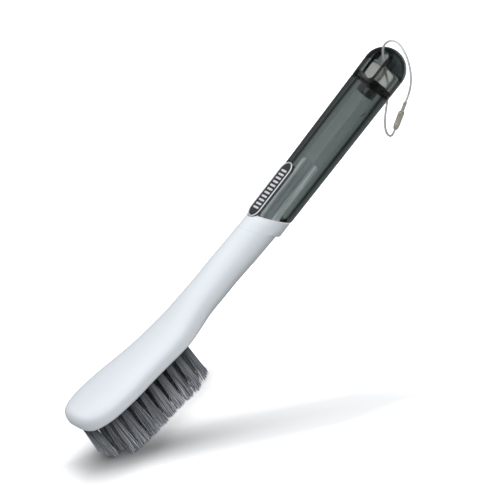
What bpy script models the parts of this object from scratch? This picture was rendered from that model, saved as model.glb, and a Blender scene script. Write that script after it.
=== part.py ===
"""Shoe brush: a moulded head and neck, a clear handle, a badge, nylon tufts and a wire hanging loop.

Metres, +Z up. The bristle tips stand on z = 0, the handle points along +X and the head is at -X.
The origin is under the middle of the brush, between the nose of the head and the end of the cap.
"""

import math

import bmesh
import bpy
from mathutils import Matrix, Vector

# Clearances shared by every seat, hole and cut
GAP = 0.0003
CUT_OVERRUN = 0.002

# Head of the brush
HEAD_LENGTH = 0.0775
HEAD_WIDTH = 0.044
HEAD_THICKNESS = 0.012
NOSE_LENGTH = 0.0235
NOSE_ROUNDING = 0.0058
NOSE_POWER_SHARE = 2.35
HEAD_TOP_POWER_SHARE = 2.5
HEAD_FACE_POWER_SHARE = 7.0
# Height of the head's widest line over its face, as a share of its thickness
HEAD_WAIST_SHARE = 0.38

# Half width along the head behind the nose: (share of the head's length, share of its half width)
HEAD_WIDTH_SHARES = (
    (0.303, 1.0), (0.40, 0.995), (0.50, 0.962), (0.60, 0.905), (0.70, 0.862), (0.80, 0.832),
    (0.90, 0.808), (1.0, 0.770),
)
# Rise of the head's middle and growth of its thickness towards the neck
HEAD_RISE_SHARES = ((0.0, 0.0), (0.72, 0.0), (0.86, 0.014), (1.0, 0.059))

# Neck, from the heel of the bristles to the joint with the handle
NECK_LENGTH = 0.0852
NECK_RISE = 0.0119
NECK_RADIUS = 0.0112
# (share of the neck's length, share of its rise, half width and half thickness as shares of its radius)
NECK_SHARES = (
    (0.0, 0.059, 1.512, 0.598),
    (0.0693, 0.101, 1.390, 0.652),
    (0.2277, 0.250, 1.175, 0.748),
    (0.3873, 0.404, 1.071, 0.804),
    (0.5469, 0.588, 1.027, 0.848),
    (0.7066, 0.735, 1.0, 0.893),
    (0.8770, 0.925, 1.0, 0.930),
)
NECK_POWER_SHARES = ((0.0, 2.5), (0.15, 2.4), (0.4, 2.2), (0.6, 2.05), (0.8, 2.0), (1.0, 2.0))
NECK_WAIST_SHARES = ((0.0, HEAD_WAIST_SHARE), (0.40, 0.5), (1.0, 0.5))
NECK_FACE_SHARE = 0.30
NECK_SLANT_SHARE = 0.55

# Handle: a thick clear tube, and the slanted joint where the neck's tang enters it
HANDLE_TILT = math.radians(11.13)
JOINT_SLANT = math.radians(25.8)
TUBE_LENGTH = 0.0932
TUBE_RADIUS_AT_JOINT = 0.0116
TUBE_RADIUS_AT_CAP = 0.0126
TUBE_BORE_RADIUS = 0.0061
TUBE_EDGE = 0.0004
COLLAR_LENGTH = 0.0098
COLLAR_STEP = 0.0002

# Tang: four ribs round a core
TANG_LENGTH = 0.0430
TANG_RIB_THICKNESS = 0.0025
TANG_CORE_RADIUS = 0.0037
TANG_CHAMFER = 0.0012

# End cap: a plug in the tube and a domed end with the hanging slot
CAP_LENGTH = 0.0265
CAP_RADIUS = 0.0128
CAP_DOME_LENGTH = 0.0126
CAP_EDGE = 0.0005
CAP_TURN = math.radians(31.0)
PLUG_LENGTH = 0.0060
PLUG_HOLLOW_RADIUS = 0.0040
PLUG_HOLLOW_DEPTH = 0.0048
SLOT_LENGTH = 0.0195
SLOT_WIDTH = 0.0065
SLOT_INSET = 0.0019
CAP_WALL = 0.0030
CAP_FRONT_WALL = 0.0042
CAP_END_WALL = 0.0111
# The hollow inside the cap: (share of its length, share of its radius)
CAP_HOLLOW_SHARES = (
    (0.0, 0.918), (0.071, 1.0), (0.732, 1.0), (0.866, 0.959), (0.964, 0.847), (1.0, 0.694),
)

# Badge: a metal bezel round a plate, lying in a flat recess over the joint
BADGE_LENGTH = 0.0388
BADGE_WIDTH = 0.0120
BADGE_OVERHANG = 0.0014
BADGE_SEAT_MARGIN = 0.0009
BADGE_FLOOR_HEIGHT = 0.0094
BEZEL_WALL = 0.0012
BEZEL_HEIGHT = 0.0017
PLATE_THICKNESS = 0.0006
PAD_THICKNESS = 0.0004
PLATE_RIB_HEIGHT = 0.0003
PLATE_RIB_WIDTH = 0.0010
PLATE_RIB_LENGTH = 0.0040
PLATE_RIB_PITCH = 0.0026
PLATE_RIB_COUNT = 11

# Tufts
BRISTLE_LENGTH = 0.025
TUFT_HOLE_RADIUS = 0.0023
TUFT_HOLE_DEPTH = 0.0070
TUFT_SIDE_INSET = 0.0042
TUFT_NOSE_INSET = 0.0048
TUFT_HEEL_INSET = 0.0019
TUFT_TURN_IN_SHARE = 0.82
TUFT_SPLAY_SHARE = 1.5
TUFT_LEAN_SHARE = 0.0
# The tips are cut flat, but rise a little over the last tufts at each end: (reach, rise)
NOSE_TRIM = (0.0095, 0.0075)
HEEL_TRIM = (0.010, 0.0030)
STRAND_RADIUS = 0.0005
STRAND_SIDES = 3
TUFT_TURN_SHARE = 0.0833
STRAND_TURN_SHARE = 0.1429
# (place across the head as a share of its half width, number of tufts, steps in from the heel)
TUFT_ROW_SHARES = ((-1.0, 9, 0.0), (-0.5, 9, 0.5), (0.0, 10, 0.0), (0.5, 9, 0.5), (1.0, 9, 0.0))
# (number of strands, radius as a share of the plug's, first angle as a share of a turn)
STRAND_RING_SHARES = ((3, 0.31, 0.0), (6, 0.74, 0.0833))

# Hanging loop: a wire rope through the slot, closed by a screw barrel
WIRE_RADIUS = 0.0007
WIRE_STEP = 0.0033
BARREL_LENGTH = 0.0112
BARREL_RADIUS = 0.0018
BARREL_END_RADIUS = 0.0013
BARREL_BORE_RADIUS = 0.0013
BARREL_LIP = 0.0012
BARREL_LIP_RADIUS = 0.0009
BARREL_KNURL_DEPTH = 0.0001
KNURL_START_SHARE = 0.35
FERRULE_LENGTH = 0.0063
FERRULE_RADIUS = 0.00105
STUD_LENGTH = 0.0036
STUD_RADIUS = 0.0010
INNER_FERRULE_LENGTH = 0.0034
INNER_FERRULE_RADIUS = 0.00103

# Where the two rigid ends of the loop meet the wire, and the wire's route between them
BARREL_WIRE_END = Vector((0.1066, -0.0224, 0.0424))
FERRULE_WIRE_END = Vector((0.1197, -0.0274, 0.0535))
SWING_LOW = Vector((0.1259, 0.0065, 0.0522))
SWING_HIGH = Vector((0.1290, -0.0080, 0.0737))
WIRE_ROUTE = (
    (0.1066, -0.0224, 0.0424),
    (0.1057, -0.0220, 0.0417),
    (0.1041, -0.0214, 0.0403),
    (0.1033, -0.0149, 0.0366),
    (0.1051, -0.0053, 0.0358),
    (0.1112, 0.0042, 0.0365),
    (0.1179, 0.0111, 0.0382),
    (0.1241, 0.0135, 0.0420),
    (0.1254, 0.0087, 0.0489),
    (0.1263, 0.0048, 0.0547),
    (0.1274, -0.0007, 0.0629),
    (0.1287, -0.0063, 0.0712),
    (0.1295, -0.0102, 0.0770),
    (0.1310, -0.0161, 0.0841),
    (0.1345, -0.0227, 0.0874),
    (0.1364, -0.0287, 0.0857),
    (0.1345, -0.0338, 0.0797),
    (0.1314, -0.0359, 0.0725),
    (0.1273, -0.0352, 0.0649),
    (0.1241, -0.0291, 0.0572),
    (0.1208, -0.0278, 0.0544),
    (0.1197, -0.0274, 0.0535),
)

# Fineness of the meshes
BODY_POINTS = 36
TUBE_POINTS = 40
CAP_POINTS = 40
HOLE_POINTS = 10
PLUG_POINTS = 8
BARREL_POINTS = 24
FERRULE_POINTS = 12
HEAD_STATIONS = 22
NECK_STATIONS = 16
NOSE_STATIONS = 7
DOME_STATIONS = 8
BADGE_END_POINTS = 10
BAR_END_POINTS = 4
ROUTE_PARTS = 24

# Places that follow from the sizes
DOME_REACH = math.hypot(CAP_DOME_LENGTH * math.cos(HANDLE_TILT), CAP_RADIUS * math.sin(HANDLE_TILT))
HANDLE_REACH = (TUBE_LENGTH + CAP_LENGTH - CAP_DOME_LENGTH) * math.cos(HANDLE_TILT) + DOME_REACH
OVERALL_LENGTH = HEAD_LENGTH + NECK_LENGTH + HANDLE_REACH
NOSE_X = -OVERALL_LENGTH / 2
HEEL_X = NOSE_X + HEAD_LENGTH
JOINT_X = HEEL_X + NECK_LENGTH
HEAD_MIDDLE_Z = BRISTLE_LENGTH + HEAD_THICKNESS / 2
JOINT = Vector((JOINT_X, 0.0, HEAD_MIDDLE_Z + NECK_RISE))
ALONG = Vector((math.cos(HANDLE_TILT), 0.0, math.sin(HANDLE_TILT)))
ABOVE = Vector((-math.sin(HANDLE_TILT), 0.0, math.cos(HANDLE_TILT)))
SIDE = Vector((0.0, 1.0, 0.0))
SEAM = JOINT + ALONG * TUBE_LENGTH


def clear_scene():
    for old in list(bpy.data.objects):
        bpy.data.objects.remove(old, do_unlink=True)


def material(name, colour, roughness, metallic=0.0, clear=0.0):
    finish = bpy.data.materials.new(name)
    finish.use_nodes = True
    shader = finish.node_tree.nodes["Principled BSDF"]
    shader.inputs["Base Color"].default_value = (*colour, 1.0)
    shader.inputs["Roughness"].default_value = roughness
    shader.inputs["Metallic"].default_value = metallic
    shader.inputs["Transmission Weight"].default_value = clear
    finish.diffuse_color = (*colour, 1.0)
    return finish


def add_object(name, mesh, finish, origin=None):
    """Link a mesh built in world places, with its origin moved to a chosen point."""
    thing = bpy.data.objects.new(name, mesh)
    bpy.context.scene.collection.objects.link(thing)
    if finish is not None:
        mesh.materials.append(finish)
    if origin is not None:
        mesh.transform(Matrix.Translation(-origin))
        thing.location = origin
    return thing


def finish_mesh(name, shape, smooth_angle=math.radians(35.0)):
    bmesh.ops.recalc_face_normals(shape, faces=shape.faces)
    mesh = bpy.data.meshes.new(name)
    shape.to_mesh(mesh)
    shape.free()
    mesh.shade_smooth()
    mesh.set_sharp_from_angle(angle=smooth_angle)
    return mesh


def loft(shape, rings):
    """Skin closed rings of equal count in order and close both ends."""
    rows = [[shape.verts.new(point) for point in ring] for ring in rings]
    count = len(rows[0])
    for near, far in zip(rows, rows[1:]):
        for index in range(count):
            after = (index + 1) % count
            shape.faces.new((near[index], near[after], far[after], far[index]))
    shape.faces.new(list(reversed(rows[0])))
    shape.faces.new(rows[-1])


def tube_loft(shape, rings):
    """Skin closed rings of equal count in order, and the last one back to the first."""
    rows = [[shape.verts.new(point) for point in ring] for ring in rings]
    count = len(rows[0])
    for near, far in zip(rows, rows[1:] + rows[:1]):
        for index in range(count):
            after = (index + 1) % count
            shape.faces.new((near[index], near[after], far[after], far[index]))


def between(table, place, column=1):
    """Read a column of a table at a place, on a smooth curve through its points."""
    if place <= table[0][0]:
        return table[0][column]
    if place >= table[-1][0]:
        return table[-1][column]
    index = max(i for i, row in enumerate(table) if row[0] <= place)
    low, high = table[index], table[index + 1]
    before = table[max(index - 1, 0)]
    after = table[min(index + 2, len(table) - 1)]
    span = high[0] - low[0]
    share = (place - low[0]) / span
    slope_low = (high[column] - before[column]) / (high[0] - before[0])
    slope_high = (after[column] - low[column]) / (after[0] - low[0])
    square, cube = share ** 2, share ** 3
    return ((2 * cube - 3 * square + 1) * low[column] + (cube - 2 * square + share) * span * slope_low
            + (3 * square - 2 * cube) * high[column] + (cube - square) * span * slope_high)


def signed_power(value, power):
    return math.copysign(abs(value) ** power, value)


def oval_ring(centre, half_width, half_height, above, top_power=2.0, face_power=2.0, count=BODY_POINTS,
              waist=0.5):
    """A ring round a centre, between an ellipse (power 2) and a box (high power), above and below.

    The waist is the height of its widest line as a share of its whole height.
    """
    ring = []
    widest = half_height * (2 * waist - 1)
    for index in range(count):
        angle = math.tau * index / count
        power = top_power if math.sin(angle) >= 0 else face_power
        across = half_width * signed_power(math.cos(angle), 2 / power)
        reach = half_height - widest if math.sin(angle) >= 0 else half_height + widest
        up = widest + reach * signed_power(math.sin(angle), 2 / power)
        ring.append(centre + SIDE * across + above * up)
    return ring


def head_half_width(distance):
    """Half width of the head at a distance behind its nose."""
    if distance < NOSE_LENGTH:
        back = 1 - distance / NOSE_LENGTH
        return HEAD_WIDTH / 2 * (1 - back ** NOSE_POWER_SHARE) ** (1 / NOSE_POWER_SHARE)
    return HEAD_WIDTH / 2 * between(HEAD_WIDTH_SHARES, distance / HEAD_LENGTH)


def head_rings():
    """Rings of the head, from just behind the nose to just before the heel."""
    rings = []
    places = [NOSE_ROUNDING * (1 - math.cos(math.pi / 2 * (i + 1) / NOSE_STATIONS))
              for i in range(NOSE_STATIONS)]
    places += [NOSE_ROUNDING + (HEAD_LENGTH - NOSE_ROUNDING) * (i + 1) / HEAD_STATIONS
               for i in range(HEAD_STATIONS - 1)]
    for distance in places:
        roundness = 1.0
        if distance < NOSE_ROUNDING:
            roundness = math.sqrt(1 - (1 - distance / NOSE_ROUNDING) ** 2)
        rise = NECK_RISE * between(HEAD_RISE_SHARES, distance / HEAD_LENGTH)
        centre = Vector((NOSE_X + distance, 0.0, HEAD_MIDDLE_Z + rise))
        half_height = HEAD_THICKNESS / 2 * roundness + rise
        rings.append(oval_ring(centre, head_half_width(distance), half_height, Vector((0.0, 0.0, 1.0)),
                               HEAD_TOP_POWER_SHARE, HEAD_FACE_POWER_SHARE, waist=HEAD_WAIST_SHARE))
    return rings


def neck_rings():
    """Rings of the neck, from the heel to the shoulder of the collar, turning to the joint's slant."""
    rings = []
    last = NECK_SHARES[-1][0]
    for index in range(NECK_STATIONS):
        place = last * index / (NECK_STATIONS - 1)
        lean = HANDLE_TILT * place / last
        along = Vector((math.cos(lean), 0.0, math.sin(lean)))
        above = Vector((-math.sin(lean), 0.0, math.cos(lean)))
        turned_share = max(0.0, (place / last - NECK_SLANT_SHARE) / (1 - NECK_SLANT_SHARE))
        above -= along * (math.tan(JOINT_SLANT) * turned_share)
        centre = Vector((HEEL_X + NECK_LENGTH * place, 0.0,
                         HEAD_MIDDLE_Z + NECK_RISE * between(NECK_SHARES, place, 1)))
        power = between(NECK_POWER_SHARES, place)
        fade = max(0.0, 1 - place / NECK_FACE_SHARE)
        face_power = power + (HEAD_FACE_POWER_SHARE - power) * fade ** 2
        rings.append(oval_ring(centre, NECK_RADIUS * between(NECK_SHARES, place, 2),
                               NECK_RADIUS * between(NECK_SHARES, place, 3), above, power, face_power,
                               waist=between(NECK_WAIST_SHARES, place)))
    return rings


def slanted(distance):
    """The upward direction within the slanted plane of the joint, and a centre on the handle's line."""
    return JOINT + ALONG * distance, ABOVE - ALONG * math.tan(JOINT_SLANT)


def tang_ring(centre, above, radius):
    """A cross of four ribs round a core."""
    core = min(TANG_CORE_RADIUS, radius)
    half_angle = math.asin(TANG_RIB_THICKNESS / 2 / radius)
    core_angle = math.asin(TANG_RIB_THICKNESS / 2 / core)
    ring = []
    for quarter in range(4):
        middle = math.tau * quarter / 4
        points = [(middle - half_angle, radius), (middle, radius), (middle + half_angle, radius)]
        start, stop = middle + core_angle, middle + math.tau / 4 - core_angle
        inner = BODY_POINTS // 4 - len(points)
        points += [(start + (stop - start) * i / (inner - 1), core) for i in range(inner)]
        ring += [centre + SIDE * (size * math.cos(angle)) + above * (size * math.sin(angle))
                 for angle, size in points]
    return ring[1:] + ring[:1]


def head_and_neck(white):
    """The head, the neck and the tang in one moulding, with a hole for each tuft and the badge's end."""
    shape = bmesh.new()
    collar_radius = TUBE_RADIUS_AT_JOINT - COLLAR_STEP
    rings = head_rings() + neck_rings()
    for step in (COLLAR_LENGTH, COLLAR_LENGTH / 2, 0.0):
        centre, above = slanted(-step)
        rings.append(oval_ring(centre, collar_radius, collar_radius, above))
    rib_radius = TUBE_BORE_RADIUS - GAP
    centre, above = slanted(0.0)
    rings.append(tang_ring(centre, above, rib_radius))
    clear_of_slant = TUBE_BORE_RADIUS * math.tan(JOINT_SLANT) + GAP
    rings.append(tang_ring(JOINT + ALONG * clear_of_slant, ABOVE, rib_radius))
    rings.append(tang_ring(JOINT + ALONG * (TANG_LENGTH - TANG_CHAMFER), ABOVE, rib_radius))
    rings.append(tang_ring(JOINT + ALONG * TANG_LENGTH, ABOVE, rib_radius - TANG_CHAMFER))
    loft(shape, rings)
    body = add_object("head_and_neck", finish_mesh("head_and_neck", shape), white)
    cut(body, hole_cutter(), "tuft_holes")
    cut(body, badge_cutter("badge_seat_in_neck"), "badge_seat")
    return body


def cut(body, cutter, name):
    step = body.modifiers.new(name, "BOOLEAN")
    step.operation = "DIFFERENCE"
    step.solver = "EXACT"
    step.object = cutter


def cutter_object(name, shape):
    bmesh.ops.recalc_face_normals(shape, faces=shape.faces)
    mesh = bpy.data.meshes.new(name)
    shape.to_mesh(mesh)
    shape.free()
    cutter = add_object(name, mesh, None)
    cutter.hide_render = True
    cutter.display_type = "WIRE"
    return cutter


def prism(shape, outline, low, high):
    """A straight solid between an outline moved by two vectors."""
    loft(shape, [[point + low for point in outline], [point + high for point in outline]])


def tuft_places():
    """The root of each tuft on the face of the head, row by row, as (row, number, x, y)."""
    places = []
    for row, (share, count, stagger) in enumerate(TUFT_ROW_SHARES):
        turn_in = 1 - (1 - TUFT_TURN_IN_SHARE * abs(share) ** NOSE_POWER_SHARE) ** (1 / NOSE_POWER_SHARE)
        first = TUFT_NOSE_INSET + NOSE_LENGTH * turn_in
        run = HEAD_LENGTH - TUFT_HEEL_INSET - first
        step = run / (count - 1 + stagger)
        for number in range(count):
            distance = first + step * number
            across = share * (head_half_width(distance) - TUFT_SIDE_INSET)
            places.append((row + 1, number + 1, NOSE_X + distance, across))
    return places


def circle(centre, radius, count, first_share=0.0):
    return [centre + Vector((radius * math.cos(math.tau * (i / count + first_share)),
                             radius * math.sin(math.tau * (i / count + first_share)), 0.0))
            for i in range(count)]


def hole_cutter():
    shape = bmesh.new()
    for row, number, x, y in tuft_places():
        outline = circle(Vector((x, y, BRISTLE_LENGTH)), TUFT_HOLE_RADIUS, HOLE_POINTS)
        prism(shape, outline, Vector((0.0, 0.0, -CUT_OVERRUN)), Vector((0.0, 0.0, TUFT_HOLE_DEPTH)))
    return cutter_object("tuft_hole_cutter", shape)


def trim_height(x):
    """Height of the tips over the floor at a place along the head."""
    height = 0.0
    for distance, (reach, rise) in ((x - NOSE_X, NOSE_TRIM), (HEEL_X - x, HEEL_TRIM)):
        height += rise * max(0.0, 1 - distance / reach)
    return height


def tuft(row, number, x, y, nylon):
    """A plug in its hole, with strands that spread to tips cut flat at the floor."""
    plug_radius = TUFT_HOLE_RADIUS - GAP
    face = BRISTLE_LENGTH - GAP
    top = BRISTLE_LENGTH + TUFT_HOLE_DEPTH - GAP
    turn = TUFT_TURN_SHARE * (row * len(TUFT_ROW_SHARES) + number)
    shape = bmesh.new()
    outline = circle(Vector((x, y, 0.0)), plug_radius, PLUG_POINTS)
    prism(shape, outline, Vector((0.0, 0.0, face)), Vector((0.0, 0.0, top)))
    name = f"tuft_{row}_{number:02d}"
    body = add_object(name, finish_mesh(name, shape), nylon)
    strands = bmesh.new()
    head_middle = Vector((NOSE_X + HEAD_LENGTH / 2, 0.0, 0.0))
    root_middle = Vector((x, y, 0.0))
    tip_middle = head_middle + (root_middle - head_middle) * (1 + TUFT_LEAN_SHARE)
    for count, radius_share, first_share in STRAND_RING_SHARES:
        for index in range(count):
            angle = math.tau * (index / count + first_share + turn)
            offset = Vector((math.cos(angle), math.sin(angle), 0.0)) * plug_radius * radius_share
            root = root_middle + offset + Vector((0.0, 0.0, face + GAP))
            tip = tip_middle + offset * TUFT_SPLAY_SHARE
            tip.z = trim_height(tip.x)
            strand_turn = STRAND_TURN_SHARE * index
            loft(strands, [circle(root, STRAND_RADIUS, STRAND_SIDES, strand_turn),
                           circle(tip, STRAND_RADIUS, STRAND_SIDES, strand_turn)])
    join(body, cutter_object(name + "_strands", strands))
    return body


def join(body, other):
    step = body.modifiers.new("join", "BOOLEAN")
    step.operation = "UNION"
    step.solver = "EXACT"
    step.object = other


def handle_ring(distance, radius, slant=False, count=TUBE_POINTS):
    centre, above = slanted(distance) if slant else (JOINT + ALONG * distance, ABOVE)
    return oval_ring(centre, radius, radius, above, count=count)


def handle_tube(clear):
    """The clear tube, slanted where it meets the neck, with the badge's flat recess on its top."""
    shape = bmesh.new()
    reach = TUBE_RADIUS_AT_JOINT * math.tan(JOINT_SLANT)
    start = GAP
    slope = (TUBE_RADIUS_AT_CAP - TUBE_RADIUS_AT_JOINT) / TUBE_LENGTH
    rings = [
        handle_ring(start, TUBE_BORE_RADIUS, slant=True),
        handle_ring(start, TUBE_RADIUS_AT_JOINT - TUBE_EDGE, slant=True),
        handle_ring(start + TUBE_EDGE, TUBE_RADIUS_AT_JOINT, slant=True),
    ]
    for share in (0.0, 0.5, 1.0):
        distance = reach + TUBE_EDGE + GAP + (TUBE_LENGTH - 2 * TUBE_EDGE - reach - GAP) * share
        rings.append(handle_ring(distance, TUBE_RADIUS_AT_JOINT + slope * distance))
    rings.append(handle_ring(TUBE_LENGTH, TUBE_RADIUS_AT_CAP - TUBE_EDGE))
    rings.append(handle_ring(TUBE_LENGTH, TUBE_BORE_RADIUS))
    rings.append(handle_ring(reach + TUBE_EDGE + GAP, TUBE_BORE_RADIUS))
    tube_loft(shape, rings)
    body = add_object("handle_tube", finish_mesh("handle_tube", shape), clear)
    cut(body, badge_cutter("badge_seat_in_tube"), "badge_seat")
    return body


def end_cap(clear):
    """The domed hollow cap with its plug, turned on the handle, and the slot right through it."""
    shape = bmesh.new()
    plug_radius = TUBE_BORE_RADIUS - GAP
    straight = CAP_LENGTH - CAP_DOME_LENGTH
    profile = [
        (PLUG_HOLLOW_DEPTH - PLUG_LENGTH, PLUG_HOLLOW_RADIUS),
        (-PLUG_LENGTH, PLUG_HOLLOW_RADIUS),
        (-PLUG_LENGTH, plug_radius - CAP_EDGE),
        (CAP_EDGE - PLUG_LENGTH, plug_radius),
        (GAP, plug_radius),
        (GAP, TUBE_RADIUS_AT_CAP - CAP_EDGE),
        (GAP + CAP_EDGE, TUBE_RADIUS_AT_CAP),
        (straight, CAP_RADIUS),
    ]
    for index in range(1, DOME_STATIONS):
        angle = math.pi / 2 * index / DOME_STATIONS
        profile.append((straight + CAP_DOME_LENGTH * math.sin(angle), CAP_RADIUS * math.cos(angle)))
    rings = [oval_ring(SEAM + ALONG * place, radius, radius, ABOVE, count=CAP_POINTS)
             for place, radius in profile]
    loft(shape, rings)
    last_ring = shape.verts[:][-CAP_POINTS:]
    tip = bmesh.ops.poke(shape, faces=[face for face in shape.faces if set(face.verts) == set(last_ring)])
    for vert in tip["verts"]:
        vert.co = SEAM + ALONG * CAP_LENGTH
    body = add_object("end_cap", finish_mesh("end_cap", shape), clear)
    hollow = bmesh.new()
    hollow_length = CAP_LENGTH - CAP_FRONT_WALL - CAP_END_WALL
    hollow_radius = CAP_RADIUS - CAP_WALL
    loft(hollow, [oval_ring(SEAM + ALONG * (CAP_FRONT_WALL + hollow_length * place), hollow_radius * share,
                            hollow_radius * share, ABOVE, count=CAP_POINTS)
                  for place, share in CAP_HOLLOW_SHARES])
    cut(body, cutter_object("cap_hollow_cutter", hollow), "hollow")
    cut(body, slot_cutter(), "hanging_slot")
    return body


def obround(centre, length, width, along, across, end_points):
    """A long oval outline with half round ends."""
    radius = width / 2
    outline = []
    for end in (1, -1):
        for index in range(end_points + 1):
            angle = end * math.pi / 2 - math.pi * index / end_points
            reach = end * (length / 2 - radius) + radius * math.sin(angle + math.pi / 2)
            outline.append(centre + along * reach + across * (radius * math.sin(angle)))
    return outline


def cap_directions():
    turn = Matrix.Rotation(CAP_TURN, 3, ALONG)
    return turn @ ABOVE, turn @ SIDE


def slot_cutter():
    through, across = cap_directions()
    centre = SEAM + ALONG * (SLOT_INSET + SLOT_LENGTH / 2)
    outline = obround(centre, SLOT_LENGTH, SLOT_WIDTH, ALONG, across, BADGE_END_POINTS)
    reach = CAP_RADIUS + CUT_OVERRUN
    shape = bmesh.new()
    prism(shape, outline, through * -reach, through * reach)
    return cutter_object("hanging_slot_cutter", shape)


def badge_centre(height):
    """A point on the badge's middle line at a height over the handle's own line."""
    top_of_joint = -TUBE_RADIUS_AT_JOINT * math.tan(JOINT_SLANT)
    distance = top_of_joint - BADGE_OVERHANG + BADGE_LENGTH / 2
    return JOINT + ALONG * distance + ABOVE * height


def badge_cutter(name):
    outline = obround(badge_centre(BADGE_FLOOR_HEIGHT), BADGE_LENGTH + 2 * BADGE_SEAT_MARGIN,
                      BADGE_WIDTH + 2 * BADGE_SEAT_MARGIN, ALONG, SIDE, BADGE_END_POINTS)
    shape = bmesh.new()
    prism(shape, outline, Vector((0.0, 0.0, 0.0)), ABOVE * (TUBE_RADIUS_AT_CAP + CUT_OVERRUN))
    return cutter_object(name, shape)


def badge_bezel(chrome):
    """The bright ring that frames the plate."""
    shape = bmesh.new()
    low = BADGE_FLOOR_HEIGHT + GAP
    high = low + BEZEL_HEIGHT
    inner = (BADGE_LENGTH - 2 * BEZEL_WALL, BADGE_WIDTH - 2 * BEZEL_WALL)
    edge = BEZEL_WALL / 4
    rings = [
        obround(badge_centre(low), *inner, ALONG, SIDE, BADGE_END_POINTS),
        obround(badge_centre(low), BADGE_LENGTH, BADGE_WIDTH, ALONG, SIDE, BADGE_END_POINTS),
        obround(badge_centre(high - edge), BADGE_LENGTH, BADGE_WIDTH, ALONG, SIDE, BADGE_END_POINTS),
        obround(badge_centre(high), BADGE_LENGTH - 2 * edge, BADGE_WIDTH - 2 * edge, ALONG, SIDE,
                BADGE_END_POINTS),
        obround(badge_centre(high), inner[0] + 2 * edge, inner[1] + 2 * edge, ALONG, SIDE,
                BADGE_END_POINTS),
        obround(badge_centre(high - edge), *inner, ALONG, SIDE, BADGE_END_POINTS),
    ]
    tube_loft(shape, rings)
    return add_object("badge_bezel", finish_mesh("badge_bezel", shape), chrome)


def badge_plate(dark):
    """The plate inside the bezel, with plain raised bars across it."""
    low = BADGE_FLOOR_HEIGHT + 2 * GAP + PAD_THICKNESS
    length = BADGE_LENGTH - 2 * BEZEL_WALL - 2 * GAP
    width = BADGE_WIDTH - 2 * BEZEL_WALL - 2 * GAP
    shape = bmesh.new()
    outline = obround(badge_centre(low), length, width, ALONG, SIDE, BADGE_END_POINTS)
    prism(shape, outline, Vector((0.0, 0.0, 0.0)), ABOVE * PLATE_THICKNESS)
    body = add_object("badge_plate", finish_mesh("badge_plate", shape), dark)
    bars = bmesh.new()
    for index in range(PLATE_RIB_COUNT):
        place = PLATE_RIB_PITCH * (index - (PLATE_RIB_COUNT - 1) / 2)
        centre = badge_centre(low + PLATE_THICKNESS) + ALONG * place
        bar = obround(centre, PLATE_RIB_LENGTH, PLATE_RIB_WIDTH, SIDE, ALONG, BAR_END_POINTS)
        prism(bars, bar, ABOVE * -(PLATE_THICKNESS / 2), ABOVE * PLATE_RIB_HEIGHT)
    join(body, cutter_object("badge_bars", bars))
    return body


def badge_pad(foam):
    """The adhesive pad that holds the plate to the floor of the recess."""
    low = BADGE_FLOOR_HEIGHT + GAP
    length = BADGE_LENGTH - 2 * BEZEL_WALL - 4 * GAP
    width = BADGE_WIDTH - 2 * BEZEL_WALL - 4 * GAP
    shape = bmesh.new()
    outline = obround(badge_centre(low), length, width, ALONG, SIDE, BADGE_END_POINTS)
    prism(shape, outline, Vector((0.0, 0.0, 0.0)), ABOVE * PAD_THICKNESS)
    return add_object("badge_pad", finish_mesh("badge_pad", shape), foam)


def smooth_route(points, step):
    """Places a step apart on the cubic spline that the route's points steer."""
    steer = [Vector(point) for point in points]
    steer = [2 * steer[0] - steer[1]] + steer + [2 * steer[-1] - steer[-2]]
    fine = []
    for index in range(len(steer) - 3):
        a, b, c, d = steer[index:index + 4]
        for part in range(ROUTE_PARTS):
            t = part / ROUTE_PARTS
            fine.append((a * (1 - t) ** 3 + b * (3 * t ** 3 - 6 * t ** 2 + 4)
                         + c * (-3 * t ** 3 + 3 * t ** 2 + 3 * t + 1) + d * t ** 3) / 6)
    fine.append(Vector(points[-1]))
    lengths = [0.0]
    for near, far in zip(fine, fine[1:]):
        lengths.append(lengths[-1] + (far - near).length)
    count = round(lengths[-1] / step)
    places = []
    for index in range(count + 1):
        target = lengths[-1] * index / count
        spot = next((i for i, reached in enumerate(lengths) if reached >= target), len(lengths) - 1)
        spot = max(spot, 1)
        span = lengths[spot] - lengths[spot - 1]
        places.append(fine[spot - 1].lerp(fine[spot], (target - lengths[spot - 1]) / span))
    return places, lengths[-1]


def wire_cable(steel, swing):
    """The wire rope, from the barrel round through the slot to the threaded ferrule."""
    places, length = smooth_route(WIRE_ROUTE, WIRE_STEP)
    print(f"wire length {length * 1000:.1f} mm")
    line = bpy.data.curves.new("wire_cable", "CURVE")
    line.dimensions = "3D"
    line.bevel_depth = WIRE_RADIUS
    line.bevel_resolution = 2
    line.use_fill_caps = True
    line.resolution_u = 1
    spline = line.splines.new("POLY")
    spline.points.add(len(places) - 1)
    for point, place in zip(spline.points, places):
        point.co = (*(place - SWING_LOW), 1.0)
    cable = bpy.data.objects.new("wire_cable", line)
    bpy.context.scene.collection.objects.link(cable)
    line.materials.append(steel)
    cable.parent = swing
    return cable


def turned(name, axis_start, axis_end, profile, count, finish, depth=0.0, closed=False):
    """A turned piece from a profile of (distance along the axis, radius), in its own places."""
    along = (axis_end - axis_start).normalized()
    across = along.orthogonal().normalized()
    third = along.cross(across)
    shape = bmesh.new()
    rings = []
    for place, radius, knurled in profile:
        ring = []
        for index in range(count):
            angle = math.tau * index / count
            size = radius - (depth if knurled and index % 2 else 0.0)
            ring.append(along * place + across * (size * math.cos(angle)) + third * (size * math.sin(angle)))
        rings.append(ring)
    if closed:
        tube_loft(shape, rings)
    else:
        loft(shape, rings)
    return add_object(name, finish_mesh(name, shape), finish)


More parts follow.
